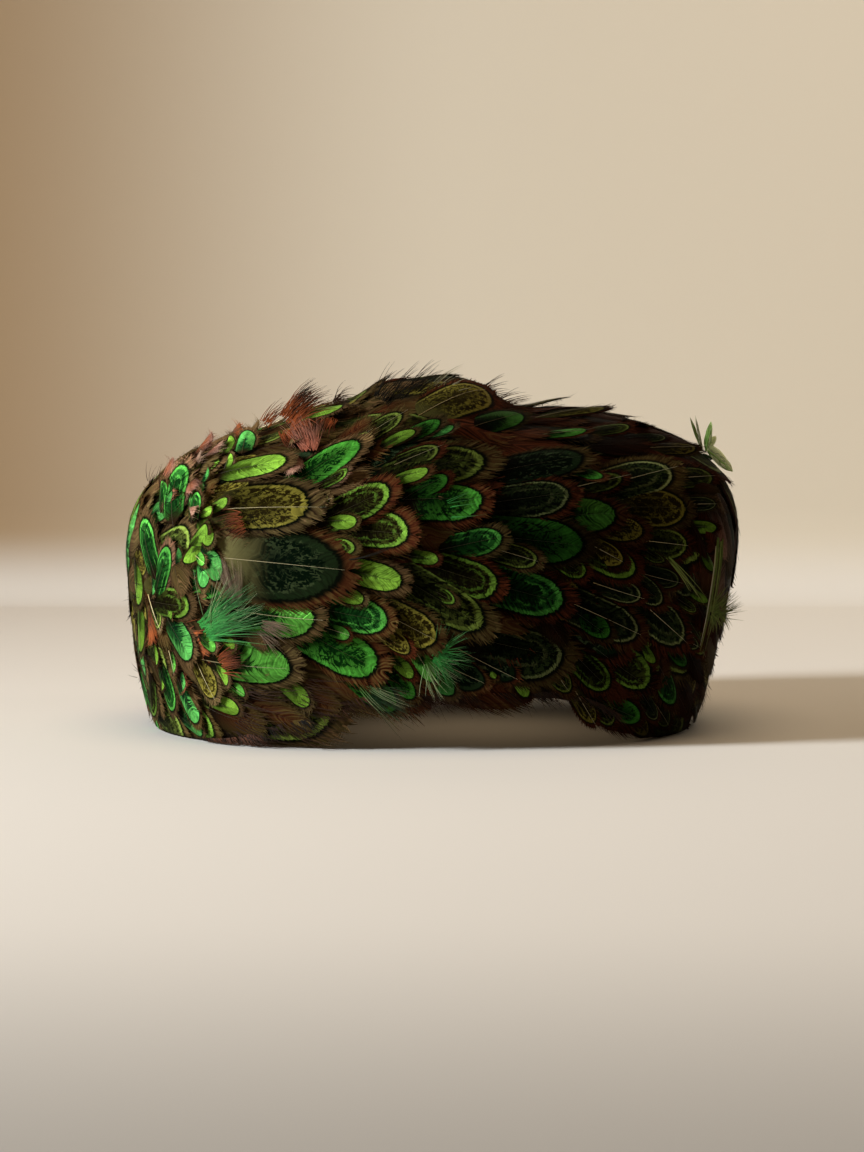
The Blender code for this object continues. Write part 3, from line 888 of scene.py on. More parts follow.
# The smooth vane: a grid of barbs from root to tip, each running from the left edge over the quill to
# the right edge
def vaneArrays(feathers):
    four = (-1, 1, 1)
    root = np.linspace(*featherBuild["vaneRoots"], featherBuild["stations"]).reshape(1, -1, 1)
    signed = np.linspace(-1.0, 1.0, featherBuild["columns"]).reshape(1, 1, -1)
    across, along = barbPoints(feathers, root, root, np.abs(signed) * featherBuild["vaneEnd"], four)
    across = across * np.sign(signed)
    height = featherHeight(feathers, across, along, four)
    arrays = featherPoints(feathers, across, along, height, root, four)
    index = np.arange(across.size).reshape(across.shape)
    low, high = index[:, :-1], index[:, 1:]
    quads = np.stack([low[..., :-1], low[..., 1:], high[..., 1:], high[..., :-1]], axis=-1)
    arrays["faces"] = quads.reshape(-1, 4)
    arrays["material"] = np.broadcast_to(feathers["kind"].reshape(four), quads.shape[:-1]).ravel()
    return arrays


# The fringe: the outer ends of single barbs, thinning to points. On each side they are gathered to the
# middles of a few clumps, some sides more than others, and a loose feather's barbs more than a tight one's.
fringeLook = {
    "roots": (0.03, 0.988),
    "rootSpread": 0.003,
    "clumps": (6, 12),
    "gather": (0.02, 0.22),  # the least, and how much more at the most
    "looseGather": 2.5,
    "mostGather": 0.8,
    "reachSpread": 0.05,
    "looseReach": (0.10, 0.14),  # a loose feather's barbs reach past its outline by this, and its spread
    "looseLift": 3.0,
}


def fringeArrays(feathers):
    draw = np.random.default_rng(23)
    count, five = len(feathers["length"]), (-1, 1, 1, 1, 1)
    shape, perSide = (count, 2, featherBuild["hairs"]), (count, 2, 1)
    loose = feathers["loose"].reshape(-1, 1, 1)
    root = np.linspace(*fringeLook["roots"], featherBuild["hairs"])
    root = root + draw.normal(0.0, fringeLook["rootSpread"], shape)
    clumps = draw.integers(*fringeLook["clumps"], perSide) + 0.0
    shift = draw.random(perSide)
    clumped = np.clip((np.floor(root * clumps + shift) + 0.5 - shift) / clumps, 0.0, 0.99)
    leastGather, moreGather = fringeLook["gather"]
    gather = leastGather + moreGather * draw.random(perSide) ** 2
    gather = gather * (1.0 + fringeLook["looseGather"] * loose)
    ended = root + np.clip(gather, 0.0, fringeLook["mostGather"]) * (clumped - root)
    looseMean, looseSpread = fringeLook["looseReach"]
    reach = 1.0 + fringeLook["reachSpread"] * draw.normal(0.0, 1.0, shape)
    reach = reach + loose * (looseMean + looseSpread * draw.normal(0.0, 1.0, shape))
    past = np.clip(reach, *featherBuild["hairReach"])[..., None] - 1.0
    places = np.array(featherBuild["hairPlaces"]).reshape(1, 1, 1, -1)
    places = places + (places - places[..., :1]) / (1.0 - places[..., :1]) * past
    blend = (places - places[..., :1]) / (places[..., -1:] - places[..., :1])
    gathered = root[..., None] + blend * (ended - root)[..., None]
    across, along = barbPoints(feathers, root[..., None], gathered, places, (-1, 1, 1, 1))
    tangent = unit(np.stack([np.gradient(across, axis=-1), np.gradient(along, axis=-1)], axis=-1))
    tangentAcross, tangentAlong = tangent[..., 0], tangent[..., 1]
    spacing = np.abs(np.gradient(across, axis=2) * tangentAlong - np.gradient(along, axis=2) * tangentAcross)
    half = np.clip(spacing, *featherBuild["hairSpacing"]) * np.array(featherBuild["hairHalfWidths"])
    edge = np.array([-1.0, 1.0])
    acrossEdges = across[..., None] - edge * (half * tangentAlong)[..., None]
    alongEdges = along[..., None] + edge * (half * tangentAcross)[..., None]
    side = np.array([1.0, -1.0]).reshape(1, 2, 1, 1, 1)
    signedAcross = side * np.maximum(acrossEdges, 0.0)
    height = featherHeight(feathers, signedAcross, alongEdges, five) + featherBuild["hairOverVane"]
    hairLift = featherBuild["hairLift"] * (1.0 + fringeLook["looseLift"] * feathers["loose"].reshape(five))
    height = height + hairLift * draw.normal(0.25, 1.0, (*shape, 1, 1)) * blend[..., None] ** 2
    arrays = featherPoints(feathers, signedAcross, alongEdges, height, root[..., None, None], five)
    index = np.arange(signedAcross.size).reshape(signedAcross.shape)
    low, high = index[..., :-1, :], index[..., 1:, :]
    quads = np.stack([low[..., 0], low[..., 1], high[..., 1], high[..., 0]], axis=-1)
    quads[:, 1] = quads[:, 1][..., ::-1]  # the other side's faces point outwards too
    arrays["faces"] = quads.reshape(-1, 4)
    kind = feathers["kind"].reshape(-1, 1, 1, 1)
    arrays["material"] = np.broadcast_to(kind, quads.shape[:-1]).ravel()
    return arrays


# Each feather has a cell of its own in the piece's square map, with a margin round it
mapCells = {
    "columnsToRows": 1.4, "marginU": 0.04, "marginV": 0.03, "vaneWidth": 0.86, "quillFrom": 0.90,
    "quillStep": 0.04,
}


def atlasPlaces(count, u, v):
    columns = math.ceil(math.sqrt(count * mapCells["columnsToRows"]))
    rows = math.ceil(count / columns)
    number = np.arange(count).reshape(-1, *(1,) * (u.ndim - 1))
    cellU = number % columns + mapCells["marginU"] + (1.0 - 2.0 * mapCells["marginU"]) * u
    cellV = number // columns + mapCells["marginV"] + (1.0 - 2.0 * mapCells["marginV"]) * v
    return np.stack([cellU / columns, cellV / rows], axis=-1)


# Three-sided tapering prisms along lines of points: centres is (count, rings, 3), half (count, rings).
# Each ring's corners stand at half a width from the line, at 120 degrees to each other.
def prismArrays(centres, half, carried, material):
    count, rings = half.shape
    tangent = unit(np.gradient(centres, axis=1))
    outward = centres - hatCentre
    side = unit(np.cross(tangent, outward))
    up = np.cross(side, tangent)
    corner = np.radians([210.0, 330.0, 90.0])
    offsets = side[:, :, None] * np.cos(corner)[:, None] + up[:, :, None] * np.sin(corner)[:, None]
    points = centres[:, :, None] + offsets * half[:, :, None, None]
    index = np.arange(count * rings * 3).reshape(count, rings, 3)
    after = np.roll(index, -1, axis=2)
    quads = np.stack([index[:, :-1], index[:, 1:], after[:, 1:], after[:, :-1]], axis=-1)
    share = np.broadcast_to(np.linspace(0.0, 1.0, rings)[:, None], (count, rings, 3))
    u = np.broadcast_to(mapCells["quillFrom"] + mapCells["quillStep"] * np.arange(3), share.shape)
    arrays = {"points": points.reshape(-1, 3), "faces": quads.reshape(-1, 4)}
    arrays["vaneUv"] = np.stack([0.5 + 0.0 * share, share], axis=-1).reshape(-1, 2)
    arrays["bakeUv"] = atlasPlaces(count, u, share).reshape(-1, 2)
    for name in pointAttributes:
        arrays[name] = np.broadcast_to(carried[name].reshape(-1, 1, 1), share.shape).ravel()
    arrays["material"] = np.broadcast_to(material.reshape(-1, 1, 1), quads.shape[:-1]).ravel()
    return arrays


def quillArrays(feathers):
    three = (-1, 1)
    share = np.linspace(0.0, 1.0, featherBuild["quillRings"])[None, :]
    length = feathers["length"].reshape(three)
    along = share * (featherBuild["quillEnd"] + feathers["quillPast"].reshape(three)) * length
    half = 0.5 * featherBuild["quillWidth"] * (1.0 - featherBuild["quillTaper"] * share)
    half = half * feathers["quillShare"].reshape(three)
    across = 0.0 * along
    halfShare, over = featherBuild["quillOver"]
    height = featherHeight(feathers, across, along, three) + halfShare * half + over
    flatAlong = along - featherBuild["anchor"] * length
    centres = layOnHat(feathers, bentAcross(feathers, across, along, three), flatAlong, height)
    carried = {name: feathers[name] for name in pointAttributes[1:]}
    carried["strand"] = feathers["seed"]
    pale, dark = materialNames.index("quill_cream"), materialNames.index("quill_dark")
    material = np.where(feathers["quillShare"] > featherBuild["paleQuill"], pale, dark)
    return prismArrays(centres, half, carried, material)


def joinArrays(parts):
    before = np.cumsum([0] + [len(part["points"]) for part in parts[:-1]])
    joined = {"faces": np.concatenate([part["faces"] + base for part, base in zip(parts, before)])}
    for key in ("points", "vaneUv", "bakeUv", "material", *pointAttributes):
        joined[key] = np.concatenate([part[key] for part in parts])
    return joined


# The fringes are brown, olive or rust at the front and deep maroon at the back, and whole feathers are
# darker at the back as well: painted shade on the side turned from the key light. Each fade runs from the
# first X to the second.
featherTones = {
    "frontTones": (0.34, 0.38, 0.42, 0.46, 0.50, 0.58),
    "backTones": (0.08, 0.16, 0.23, 0.27, 0.31),
    "toneSpread": 0.05,
    "toneFade": (-0.070, 0.025),
    "keepsTone": 0.9,  # kinds with a tone above this keep it all over the hat
    "backShade": 0.50,
    "shadeFade": (-0.040, 0.040),
    "shadeSpread": 0.20,
    # at the front the feathers are paler, and more so higher up: painted light where the key light falls
    "frontShade": (1.25, 1.95),
    "frontHeights": (0.045, 0.095),
    "frontFade": (-0.030, -0.075),
}
# How much single feathers differ from each other
featherSpread = {
    "length": 0.12,
    "skew": 0.10,
    "roll": 0.05,
    "curl": (0.0003, 0.0005),
    "bend": 0.035,
    "sweep": 1.15,
    "looseSweep": 0.6,
    "plainSweep": 0.75,
    "blunt": (0.68, 0.37),
    "quillPast": (-0.07, 0.04),
    "quillPastLimits": (-0.14, 0.03),
}


def fadeShare(points, ends):
    return np.clip((points[:, 0] - ends[0]) / (ends[1] - ends[0]), 0.0, 1.0)


def pickedFrom(values, even):
    return np.array(values)[np.floor(even * len(values)).astype(int)]


# The height by which the whole cover stands off the cap: bell shapes along the middle line
def standOff(directions):
    foreAft = np.degrees(np.arctan2(directions[..., 2], -directions[..., 0]))
    foreAft = np.where(foreAft < -90.0, foreAft + 360.0, foreAft)
    side = np.degrees(np.arcsin(directions[..., 1]))
    stand = np.zeros(foreAft.shape)
    for middle, spread, sideSpread, height in featherBuild["standsOff"]:
        stand += height * np.exp(-(((foreAft - middle) / spread) ** 2) - (side / sideSpread) ** 2)
    return stand


# How much of the usual height over the cap a feather has here
def layFlat(directions):
    points = capPoints(directions, 0.0)
    low = 1.0 - smoothStep(points[:, 2] / featherBuild["flatBelow"])
    bottom, top = featherBuild["frontFlatTop"]
    front = smoothStep(points[:, 0] / featherBuild["flatBefore"] - 0.7)
    front = front * (1.0 - smoothStep((points[:, 2] - bottom) / (top - bottom)))
    return 1.0 - (1.0 - featherBuild["flatShare"]) * np.maximum(low, front)


# Turns rows of feathers into the arrays that the builders read. The numbers of one row don't depend on
# the rows after it; bell is the sum of three even numbers, with a spread of 1 about 0.
def featherTable(draw, directions, forward, width, kinds, extraLift, rise, quillShare, loose):
    count = len(directions)
    tones = featherTones
    even = draw.random((count, 32))
    bell = 2.0 * even[:, :27].reshape(count, 9, 3).sum(axis=2) - 3.0
    keep = layFlat(directions)
    lift = (featherBuild["rootLift"] + extraLift) * keep
    rise = rise * keep
    anchor = capPoints(directions, lift + rise * featherBuild["anchor"] + standOff(directions))
    normal = capNormals(directions)
    forward = unit(forward - (forward * normal).sum(axis=1, keepdims=True) * normal)
    ownTone = np.array([featherKinds[name].get("tone", -1.0) for name in kindNames])[kinds]
    isPlain = np.array([featherKinds[name]["bandEnd"] < 0.0 for name in kindNames])[kinds]
    frontTone = np.where(ownTone < 0.0, pickedFrom(tones["frontTones"], even[:, 28]), ownTone)
    backTone = pickedFrom(tones["backTones"], even[:, 29])
    fade = fadeShare(anchor, tones["toneFade"])
    fade = np.where(ownTone > tones["keepsTone"], 0.0, fade)
    tone = frontTone + (backTone - frontTone) * fade + tones["toneSpread"] * bell[:, 6]
    # painted shade towards the back and painted light at the front and higher up, on top of each feather's
    # own random spread
    shade = 1.0 + (tones["backShade"] - 1.0) * fadeShare(anchor, tones["shadeFade"])
    frontShade = np.interp(anchor[:, 2], tones["frontHeights"], tones["frontShade"])
    shade += (frontShade - 1.0) * fadeShare(anchor, tones["frontFade"])
    spread = featherSpread
    quillPast = spread["quillPast"][0] + spread["quillPast"][1] * bell[:, 5]
    loose = np.broadcast_to(loose, count)
    return {
        "anchor": anchor,
        "forward": forward,
        "sideways": np.cross(forward, normal),
        "width": width,
        "length": width * featherBuild["lengthToWidth"] * (1.0 + spread["length"] * bell[:, 0]),
        "skew": spread["skew"] * bell[:, 1],
        "sweep": spread["sweep"] + spread["looseSweep"] * loose + spread["plainSweep"] * isPlain,
        "blunt": spread["blunt"][0] + spread["blunt"][1] * even[:, 30],
        "kind": kinds,
        "lift": lift,
        "rise": rise,
        "roll": spread["roll"] * bell[:, 2],
        "curl": (spread["curl"][0] + spread["curl"][1] * bell[:, 3]) * keep,
        "bend": spread["bend"] * bell[:, 4],
        "loose": loose,
        "quillPast": np.clip(quillPast, *spread["quillPastLimits"]),
        "quillShare": np.broadcast_to(quillShare, count),
        "seed": even[:, 31],
        "tone": np.clip(tone, 0.0, 1.0),
        "shade": shade * np.exp(tones["shadeSpread"] * bell[:, 7]),
    }


def layDistance(directions):
    return np.interp(layPlaces(directions)[0], layFlow, layTravelled)


def forwardAlongLay(directions):
    flow, lane = layPlaces(directions)
    ahead = capPoints(layDirections(flow + 0.02, lane), 0.0)
    return unit(ahead - capPoints(directions, 0.0))


# The cover: rows along the lay, each feather half a step from its neighbours in the row before. Under
# the listed feathers, on the near side, it lies lower and its kinds are plainer.
coverRows = {
    "firstDistance": 0.012,
    "stopBefore": 0.004,
    "ringSamples": 721,
    "rowPitch": 0.0150,
    "featherPitch": 0.0165,
    "width": 0.0245,
    "widthSpread": 0.0030,
    "placeSpread": 0.0030,
    "turnSpread": 13.0,
    "lowestEdge": 0.0030,
    "overArch": 0.0175,
    "tipAboveRim": -0.001,
    # the near side ends at this Y, and over this height it draws back by this slope
    "nearY": 0.012,
    "nearAbove": 0.090,
    "nearSlope": 0.6,
    "backBeyond": 0.030,
    "riseBeyond": 0.030,
    "frontWidth": 0.72,
    "frontBefore": -0.050,
    "crestAbove": 0.095,
    "crestWithin": 0.040,
    # quills as shares of the full width: on the near side, the usual one and some pale ones elsewhere
    "nearQuill": 0.3,
    "usualQuill": 0.5,
    "paleQuills": 0.25,
    "looseOnes": 0.2,
    "looseness": 0.35,
    "mixedKinds": (
        "uGreen", "uYellow", "uOlive", "uOlive", "uThin", "solidGreen", "solidEmerald", "solidLime",
        "mottledOlive", "mottledOlive", "mottledGreen", "blackGreen", "plainBrown", "plainBrown",
        "plainRust",
    ),
    "nearKinds": ("plainBrown", "plainBrown", "plainBrown", "plainBrown", "uOlive", "blackGreen"),
    "crestKinds": ("plainBrown", "plainBrown", "blackGreen", "uOlive", "mottledOlive"),
    "frontKinds": (
        "plainBrown", "plainBrown", "plainBrown", "uOlive", "uGreen", "solidEmerald", "mottledOlive",
        "uYellow",
    ),
    "backKinds": (
        "plainBrown", "plainBrown", "plainBrown", "uOlive", "uOlive", "uThin", "mottledOlive",
        "blackGreen",
    ),
}


def coverFeathers(draw):
    look = coverRows
    directions = []
    lanes = np.linspace(-math.pi, math.pi, look["ringSamples"])
    distance, row = look["firstDistance"], 0
    while distance < layTravelled[-1] - look["stopBefore"]:
        flow = np.interp(distance, layTravelled, layFlow)
        ring = capPoints(layDirections(np.full(lanes.shape, flow), lanes), 0.0)
        steps = np.concatenate([[0.0], np.cumsum(np.linalg.norm(np.diff(ring, axis=0), axis=1))])
        count = max(3, round(steps[-1] / look["featherPitch"]))
        at = (np.arange(count) + 0.5 * (row % 2)) / count * steps[-1]
        directions.append(layDirections(np.full(count, flow), np.interp(at, steps, lanes)))
        distance += look["rowPitch"]
        row += 1
    directions = np.concatenate(directions)
    scatter = look["placeSpread"] / hatForm["frontReach"] * draw.normal(0.0, 0.5, directions.shape)
    directions = unit(directions + scatter)
    points = capPoints(directions, 0.0)
    lowest = look["lowestEdge"] + look["overArch"] * archShare(points)
    return directions[points[:, 2] > lowest]


def turned(forward, directions, degrees):
    angle = np.radians(degrees)[:, None]
    return forward * np.cos(angle) + np.cross(directions, forward) * np.sin(angle)


# The feathers that the photograph shows one by one. Pixels are of the coloured zone's tip, the lie is
# counter-clockwise from the picture's right, the width is the coloured zone's, in pixels, and light
# is a factor on the colour.
shownFeathers = [
    # tipX, tipY, lie, width, kind, loose, light
    (184, 470, 56, 28, "uGreen", 0.0, 1.0),
    (144, 521, 84, 24, "uGreen", 0.0, 1.0),
    (167, 551, 66, 23, "uGreen", 0.0, 1.0),
    (201, 492, 57, 16, "uGreen", 0.1, 1.0),
    (208, 528, 38, 14, "solidLime", 0.3, 0.5),
    (211, 545, -55, 16, "solidLime", 0.6, 0.5),
    (187, 562, -120, 14, "solidLime", 0.4, 0.5),
    (223, 577, -45, 24, "solidEmerald", 0.1, 0.8),
    (206, 586, -75, 16, "solidEmerald", 0.3, 1.0),
    (187, 606, -4, 28, "uYellow", 0.0, 1.0),
    (160, 628, -65, 16, "uOlive", 0.0, 1.0),
    (140, 606, -80, 22, "solidLime", 0.2, 0.55),
    (152, 640, -84, 18, "plainRust", 0.3, 0.8),
    (142, 650, -84, 22, "solidLime", 0.2, 0.5),
    (193, 658, -50, 26, "solidEmerald", 0.1, 1.0),
    (199, 721, -60, 20, "solidEmerald", 0.0, 1.0),
    (176, 708, -66, 20, "uGreen", 0.0, 1.0),
    (156, 717, -78, 22, "uYellow", 0.0, 1.0),
    (204, 731, -28, 18, "solidEmerald", 0.3, 1.0),
    (217, 698, -58, 24, "mottledOlive", 0.0, 1.0),
    (238, 707, -8, 16, "solidLime", 0.6, 0.7),
    (311, 704, -36, 18, "solidLime", 0.7, 0.8),
    (287, 667, 0, 38, "solidGreen", 0.0, 0.75),
    (312, 622, -6, 36, "solidGreen", 0.05, 0.75),
    (327, 564, -3, 58, "blackOlive", 0.0, 0.7),
    (307, 509, -3, 48, "mottledOlive", 0.0, 0.75),
    (228, 500, 20, 12, "solidLime", 0.2, 0.65),
    (285, 463, 5, 31, "solidLime", 0.1, 0.85),
    (254, 435, 41, 18, "solidEmerald", 0.2, 1.1),
    (238, 440, 30, 12, "solidLime", 0.3, 1.0),
    (342, 411, 0, 30, "solidLime", 0.4, 1.0),
    (357, 448, 24, 34, "mottledGreen", 0.0, 1.5),
    (391, 492, 20, 34, "uYellow", 0.0, 1.0),
    (411, 533, -4, 34, "uYellow", 0.0, 0.9),
    (398, 583, -14, 24, "solidLime", 0.05, 0.8),
    (388, 621, -8, 31, "uGreen", 0.0, 1.5),
    (374, 669, -26, 38, "mottledGreen", 0.05, 1.0),
    (366, 424, 30, 18, "plainBrown", 0.4, 1.2),
    (296, 472, -75, 14, "plainPink", 0.3, 1.0),
    (298, 444, -60, 18, "plainRust", 0.6, 1.5),
    (190, 462, -30, 16, "plainPink", 0.4, 1.0),
    (194, 492, -60, 14, "plainPink", 0.4, 1.0),
    (182, 590, -70, 22, "plainBrown", 0.3, 1.0),
    (396, 706, -28, 26, "mottledGreen", 0.6, 1.0),
    (262, 727, -14, 28, "plainBrown", 0.5, 1.0),
    (174, 492, 40, 10, "solidEmerald", 0.3, 1.0),
    (214, 470, 30, 9, "solidEmerald", 0.4, 1.3),
    (236, 456, 34, 9, "solidLime", 0.4, 1.2),
    (206, 456, 26, 12, "plainPink", 0.5, 1.0),
    (226, 446, 18, 12, "plainPink", 0.5, 1.0),
    (196, 512, -40, 10, "plainPink", 0.5, 1.2),
    (214, 510, 10, 10, "solidLime", 0.5, 1.1),
    (180, 548, 60, 10, "solidEmerald", 0.4, 0.9),
    (205, 562, -30, 11, "solidGreen", 0.5, 1.2),
    (172, 618, -50, 9, "solidLime", 0.4, 0.9),
    (154, 594, -80, 9, "solidEmerald", 0.4, 0.9),
    (158, 664, -70, 9, "solidLime", 0.4, 0.8),
    (176, 672, -64, 10, "solidGreen", 0.4, 1.0),
    (186, 690, -60, 9, "solidEmerald", 0.4, 1.0),
    (164, 690, -72, 8, "solidLime", 0.4, 0.8),
    (228, 618, 30, 12, "solidEmerald", 0.6, 1.2),
    (216, 650, -30, 12, "solidGreen", 0.6, 1.1),
    (236, 646, -20, 10, "solidLime", 0.6, 0.9),
    (266, 642, -16, 14, "plainBrown", 0.5, 1.2),
    (228, 682, -50, 10, "solidLime", 0.5, 0.9),
    (244, 694, -30, 10, "solidGreen", 0.5, 0.8),
    (330, 500, 10, 16, "uOlive", 0.2, 1.4),
    (348, 472, 16, 14, "uYellow", 0.2, 1.2),
    (356, 520, 0, 14, "solidLime", 0.4, 0.9),
    (352, 550, -6, 16, "uYellow", 0.2, 1.0),
    (362, 600, -14, 14, "solidLime", 0.4, 0.7),
    (350, 634, -10, 12, "solidGreen", 0.4, 0.7),
    (424, 470, 12, 14, "solidLime", 0.4, 0.8),
    (438, 560, -10, 12, "solidLime", 0.3, 0.7),
    (454, 600, -24, 12, "uYellow", 0.3, 0.8),
    (408, 650, -30, 16, "mottledOlive", 0.3, 1.2),
    (412, 676, -40, 12, "solidLime", 0.4, 0.9),
    (300, 719, -14, 24, "plainBrown", 0.5, 1.0),
    (336, 708, -18, 20, "plainBrown", 0.5, 1.0),
    (488, 392, 2, 50, "mottledOlive", 0.0, 1.4),
    (412, 432, 20, 14, "solidLime", 0.5, 0.7),
    (452, 430, 0, 14, "solidEmerald", 0.2, 0.6),
    (402, 418, 20, 26, "uOlive", 0.2, 0.8),
    (440, 424, 12, 22, "mottledGreen", 0.2, 0.6),
    (436, 448, 16, 22, "uOlive", 0.1, 0.8),
    (366, 436, 30, 20, "uOlive", 0.3, 0.8),
    (723, 508, -76, 20, "plainBrown", 0.2, 1.8),
    (726, 552, -84, 20, "plainPink", 0.2, 1.1),
    (721, 602, -98, 20, "plainPink", 0.2, 1.0),
    (518, 417, 8, 27, "solidGreen", 0.0, 0.6),
    (476, 455, 10, 44, "uOlive", 0.0, 0.8),
    (442, 475, 28, 18, "mottledGreen", 0.1, 0.8),
    (484, 499, 2, 36, "mottledGreen", 0.0, 0.75),
    (500, 537, 12, 24, "uGreen", 0.1, 0.9),
    (568, 495, 3, 36, "uThin", 0.0, 1.0),
    (572, 462, 2, 34, "blackGreen", 0.1, 1.0),
    (612, 512, 2, 34, "solidGreen", 0.0, 0.45),
    (578, 546, -8, 40, "mottledGreen", 0.0, 0.5),
    (583, 580, -48, 20, "uYellow", 0.1, 1.0),
    (499, 587, -17, 34, "uYellow", 0.0, 0.9),
    (477, 622, -30, 36, "uOlive", 0.0, 1.0),
    (561, 603, -15, 38, "uGreen", 0.0, 0.5),
    (564, 657, -10, 44, "uThin", 0.0, 1.2),
    (440, 640, -24, 34, "mottledOlive", 0.0, 1.0),
    (452, 692, -42, 18, "solidEmerald", 0.1, 0.8),
    (434, 678, -55, 16, "solidGreen", 0.3, 1.0),
    (414, 694, -36, 18, "mottledGreen", 0.4, 1.0),
    (480, 680, -22, 24, "blackGreen", 0.1, 1.0),
    (510, 676, -26, 22, "blackGreen", 0.1, 1.0),
    (494, 678, -70, 8, "solidLime", 0.2, 1.0),
    (525, 694, -76, 14, "solidLime", 0.1, 1.0),
    (566, 692, -62, 18, "uOlive", 0.1, 1.0),
    (606, 690, -50, 26, "uYellow", 0.1, 1.0),
    (644, 689, -42, 34, "uYellow", 0.0, 0.9),
    (672, 698, -72, 22, "uGreen", 0.0, 1.0),
    (652, 662, -65, 10, "solidLime", 0.1, 1.0),
    (634, 632, -26, 34, "uThin", 0.0, 1.3),
    (677, 642, -52, 36, "uThin", 0.0, 1.1),
    (638, 599, -22, 20, "uThin", 0.0, 1.2),
    (634, 569, -27, 28, "uYellow", 0.0, 1.0),
    (664, 468, 14, 40, "uThin", 0.0, 1.3),
    (626, 428, -6, 18, "uOlive", 0.1, 1.0),
    (580, 434, -6, 16, "solidGreen", 0.2, 1.0),
    (600, 478, -28, 14, "mottledGreen", 0.2, 1.0),
    (641, 425, -55, 16, "uThin", 0.1, 1.0),
    (662, 437, -14, 16, "uThin", 0.1, 1.0),
    (688, 448, -16, 18, "mottledOlive", 0.2, 1.0),
    (710, 475, -2, 24, "uOlive", 0.0, 1.0),
    (686, 507, -5, 38, "mottledOlive", 0.0, 0.8),
    (717, 503, -4, 14, "uThin", 0.0, 1.0),
    (688, 546, -10, 28, "uOlive", 0.0, 1.2),
    (716, 527, -8, 12, "solidLime", 0.1, 1.0),
    (661, 563, -50, 10, "uOlive", 0.1, 1.0),
    (705, 601, -50, 9, "solidLime", 0.1, 1.0),
    (676, 584, -20, 18, "uThin", 0.1, 1.0),
    (694, 612, -50, 10, "uOlive", 0.1, 1.0),
    (712, 572, -80, 12, "solidLime", 0.1, 1.0),
    (712, 642, -104, 18, "plainBrown", 0.2, 1.6),
    (716, 540, -80, 18, "plainBrown", 0.1, 1.4),
    (694, 646, -40, 14, "uThin", 0.1, 1.0),
    (610, 724, -60, 18, "uOlive", 0.1, 1.0),
    (592, 721, -62, 16, "mottledOlive", 0.1, 1.0),
    (638, 717, -20, 20, "mottledGreen", 0.3, 1.0),
    (656, 716, -60, 14, "uThin", 0.1, 1.0),
    (684, 712, -72, 18, "plainBrown", 0.1, 1.0),
    (560, 399, 2, 30, "mottledOlive", 0.1, 1.0),
    (596, 412, -6, 24, "mottledOlive", 0.1, 0.8),
    (640, 446, -12, 22, "plainBrown", 0.3, 1.0),
    (696, 676, -78, 20, "plainRust", 0.3, 0.4),
    (700, 652, -70, 16, "uOlive", 0.0, 1.0),
    (690, 704, -74, 20, "plainRust", 0.3, 0.35),
    (668, 724, -60, 18, "uOlive", 0.1, 0.8),
    (648, 731, -40, 16, "mottledOlive", 0.1, 0.8),
    (684, 664, -60, 14, "mottledGreen", 0.1, 0.7),
    (708, 630, -76, 14, "plainRust", 0.3, 0.5),
    (704, 548, -70, 16, "plainRust", 0.3, 0.5),
    (716, 488, -30, 14, "plainRust", 0.3, 0.5),
    (660, 600, -40, 22, "uThin", 0.0, 1.0),
    (622, 560, -30, 20, "mottledOlive", 0.0, 0.8),
    (640, 530, -10, 24, "mottledOlive", 0.0, 0.7),
    (606, 636, -40, 20, "mottledGreen", 0.0, 0.6),
    (536, 560, -16, 20, "uOlive", 0.1, 0.7),
    (560, 640, -60, 16, "plainRust", 0.4, 0.4),
    (616, 478, 10, 20, "uOlive", 0.1, 0.7),
    (176, 464, 40, 14, "plainPink", 0.5, 1.0),
    (216, 440, 24, 13, "plainPink", 0.5, 1.0),
    (244, 430, 20, 12, "plainRust", 0.5, 0.9),
    (262, 427, 20, 12, "plainBrown", 0.5, 1.6),
    (166, 484, 60, 12, "uGreen", 0.3, 1.2),
]
paleQuillKinds = ("mottledOlive", "blackGreen", "blackOlive", "uThin", "uOlive", "solidGreen")
pixelSize = photoView["distance"] / photoView["focalPixels"]
shownLook = {
    "zoneShare": 0.66,  # the coloured zone's width, and its tip's place, as a share of the feather's
    "riseAtTip": 0.85,  # how much of a feather's rise its coloured tip has
    "paleQuills": 0.7,  # how many of the kinds with pale quills show one, and the other quills' width
    "darkQuill": 0.5,
    "mostRows": 400,
}


# The lie is measured on the hat between the sight lines through the tip and ten pixels back from it
def shownTable(camera):
    tips = np.array([row[:2] for row in shownFeathers], float)
    lie = np.radians([row[2] for row in shownFeathers])
    width = np.array([row[3] for row in shownFeathers]) * pixelSize / shownLook["zoneShare"]
    kinds = np.array([kindNames.index(row[4]) for row in shownFeathers])
    loose, light = np.array([row[5:7] for row in shownFeathers]).T
    back = np.stack([np.cos(lie), -np.sin(lie)], axis=1) * 10.0
    height = featherBuild["rootLift"] + shownLook["riseAtTip"] * featherBuild["tipRise"]
    guess = pixelDirections(camera, tips, featherBuild["guessedHeight"])
    offset = (height + featherBuild["shownLift"]) * layFlat(guess) + standOff(guess)
    tipDirections = pixelDirections(camera, tips, offset)
    backDirections = pixelDirections(camera, tips - back, offset)
    forward = unit(capPoints(tipDirections, offset) - capPoints(backDirections, offset))
    colouredTip = featherBuild["widest"] + (1.0 - featherBuild["widest"]) * shownLook["zoneShare"]
    tipToAnchor = (colouredTip - featherBuild["anchor"]) * width * featherBuild["lengthToWidth"]
    here = capPoints(tipDirections, offset) - forward * tipToAnchor[:, None]
    return unit(here - hatCentre), forward, width, kinds, loose, light


def sliceTable(table, keep):
    return {key: value[keep] for key, value in table.items()}


def joinTables(tables):
    return {key: np.concatenate([table[key] for table in tables]) for key in tables[0]}


def pickedKinds(draw, names, count):
    return pickedFrom([kindNames.index(name) for name in names], draw.random(count))


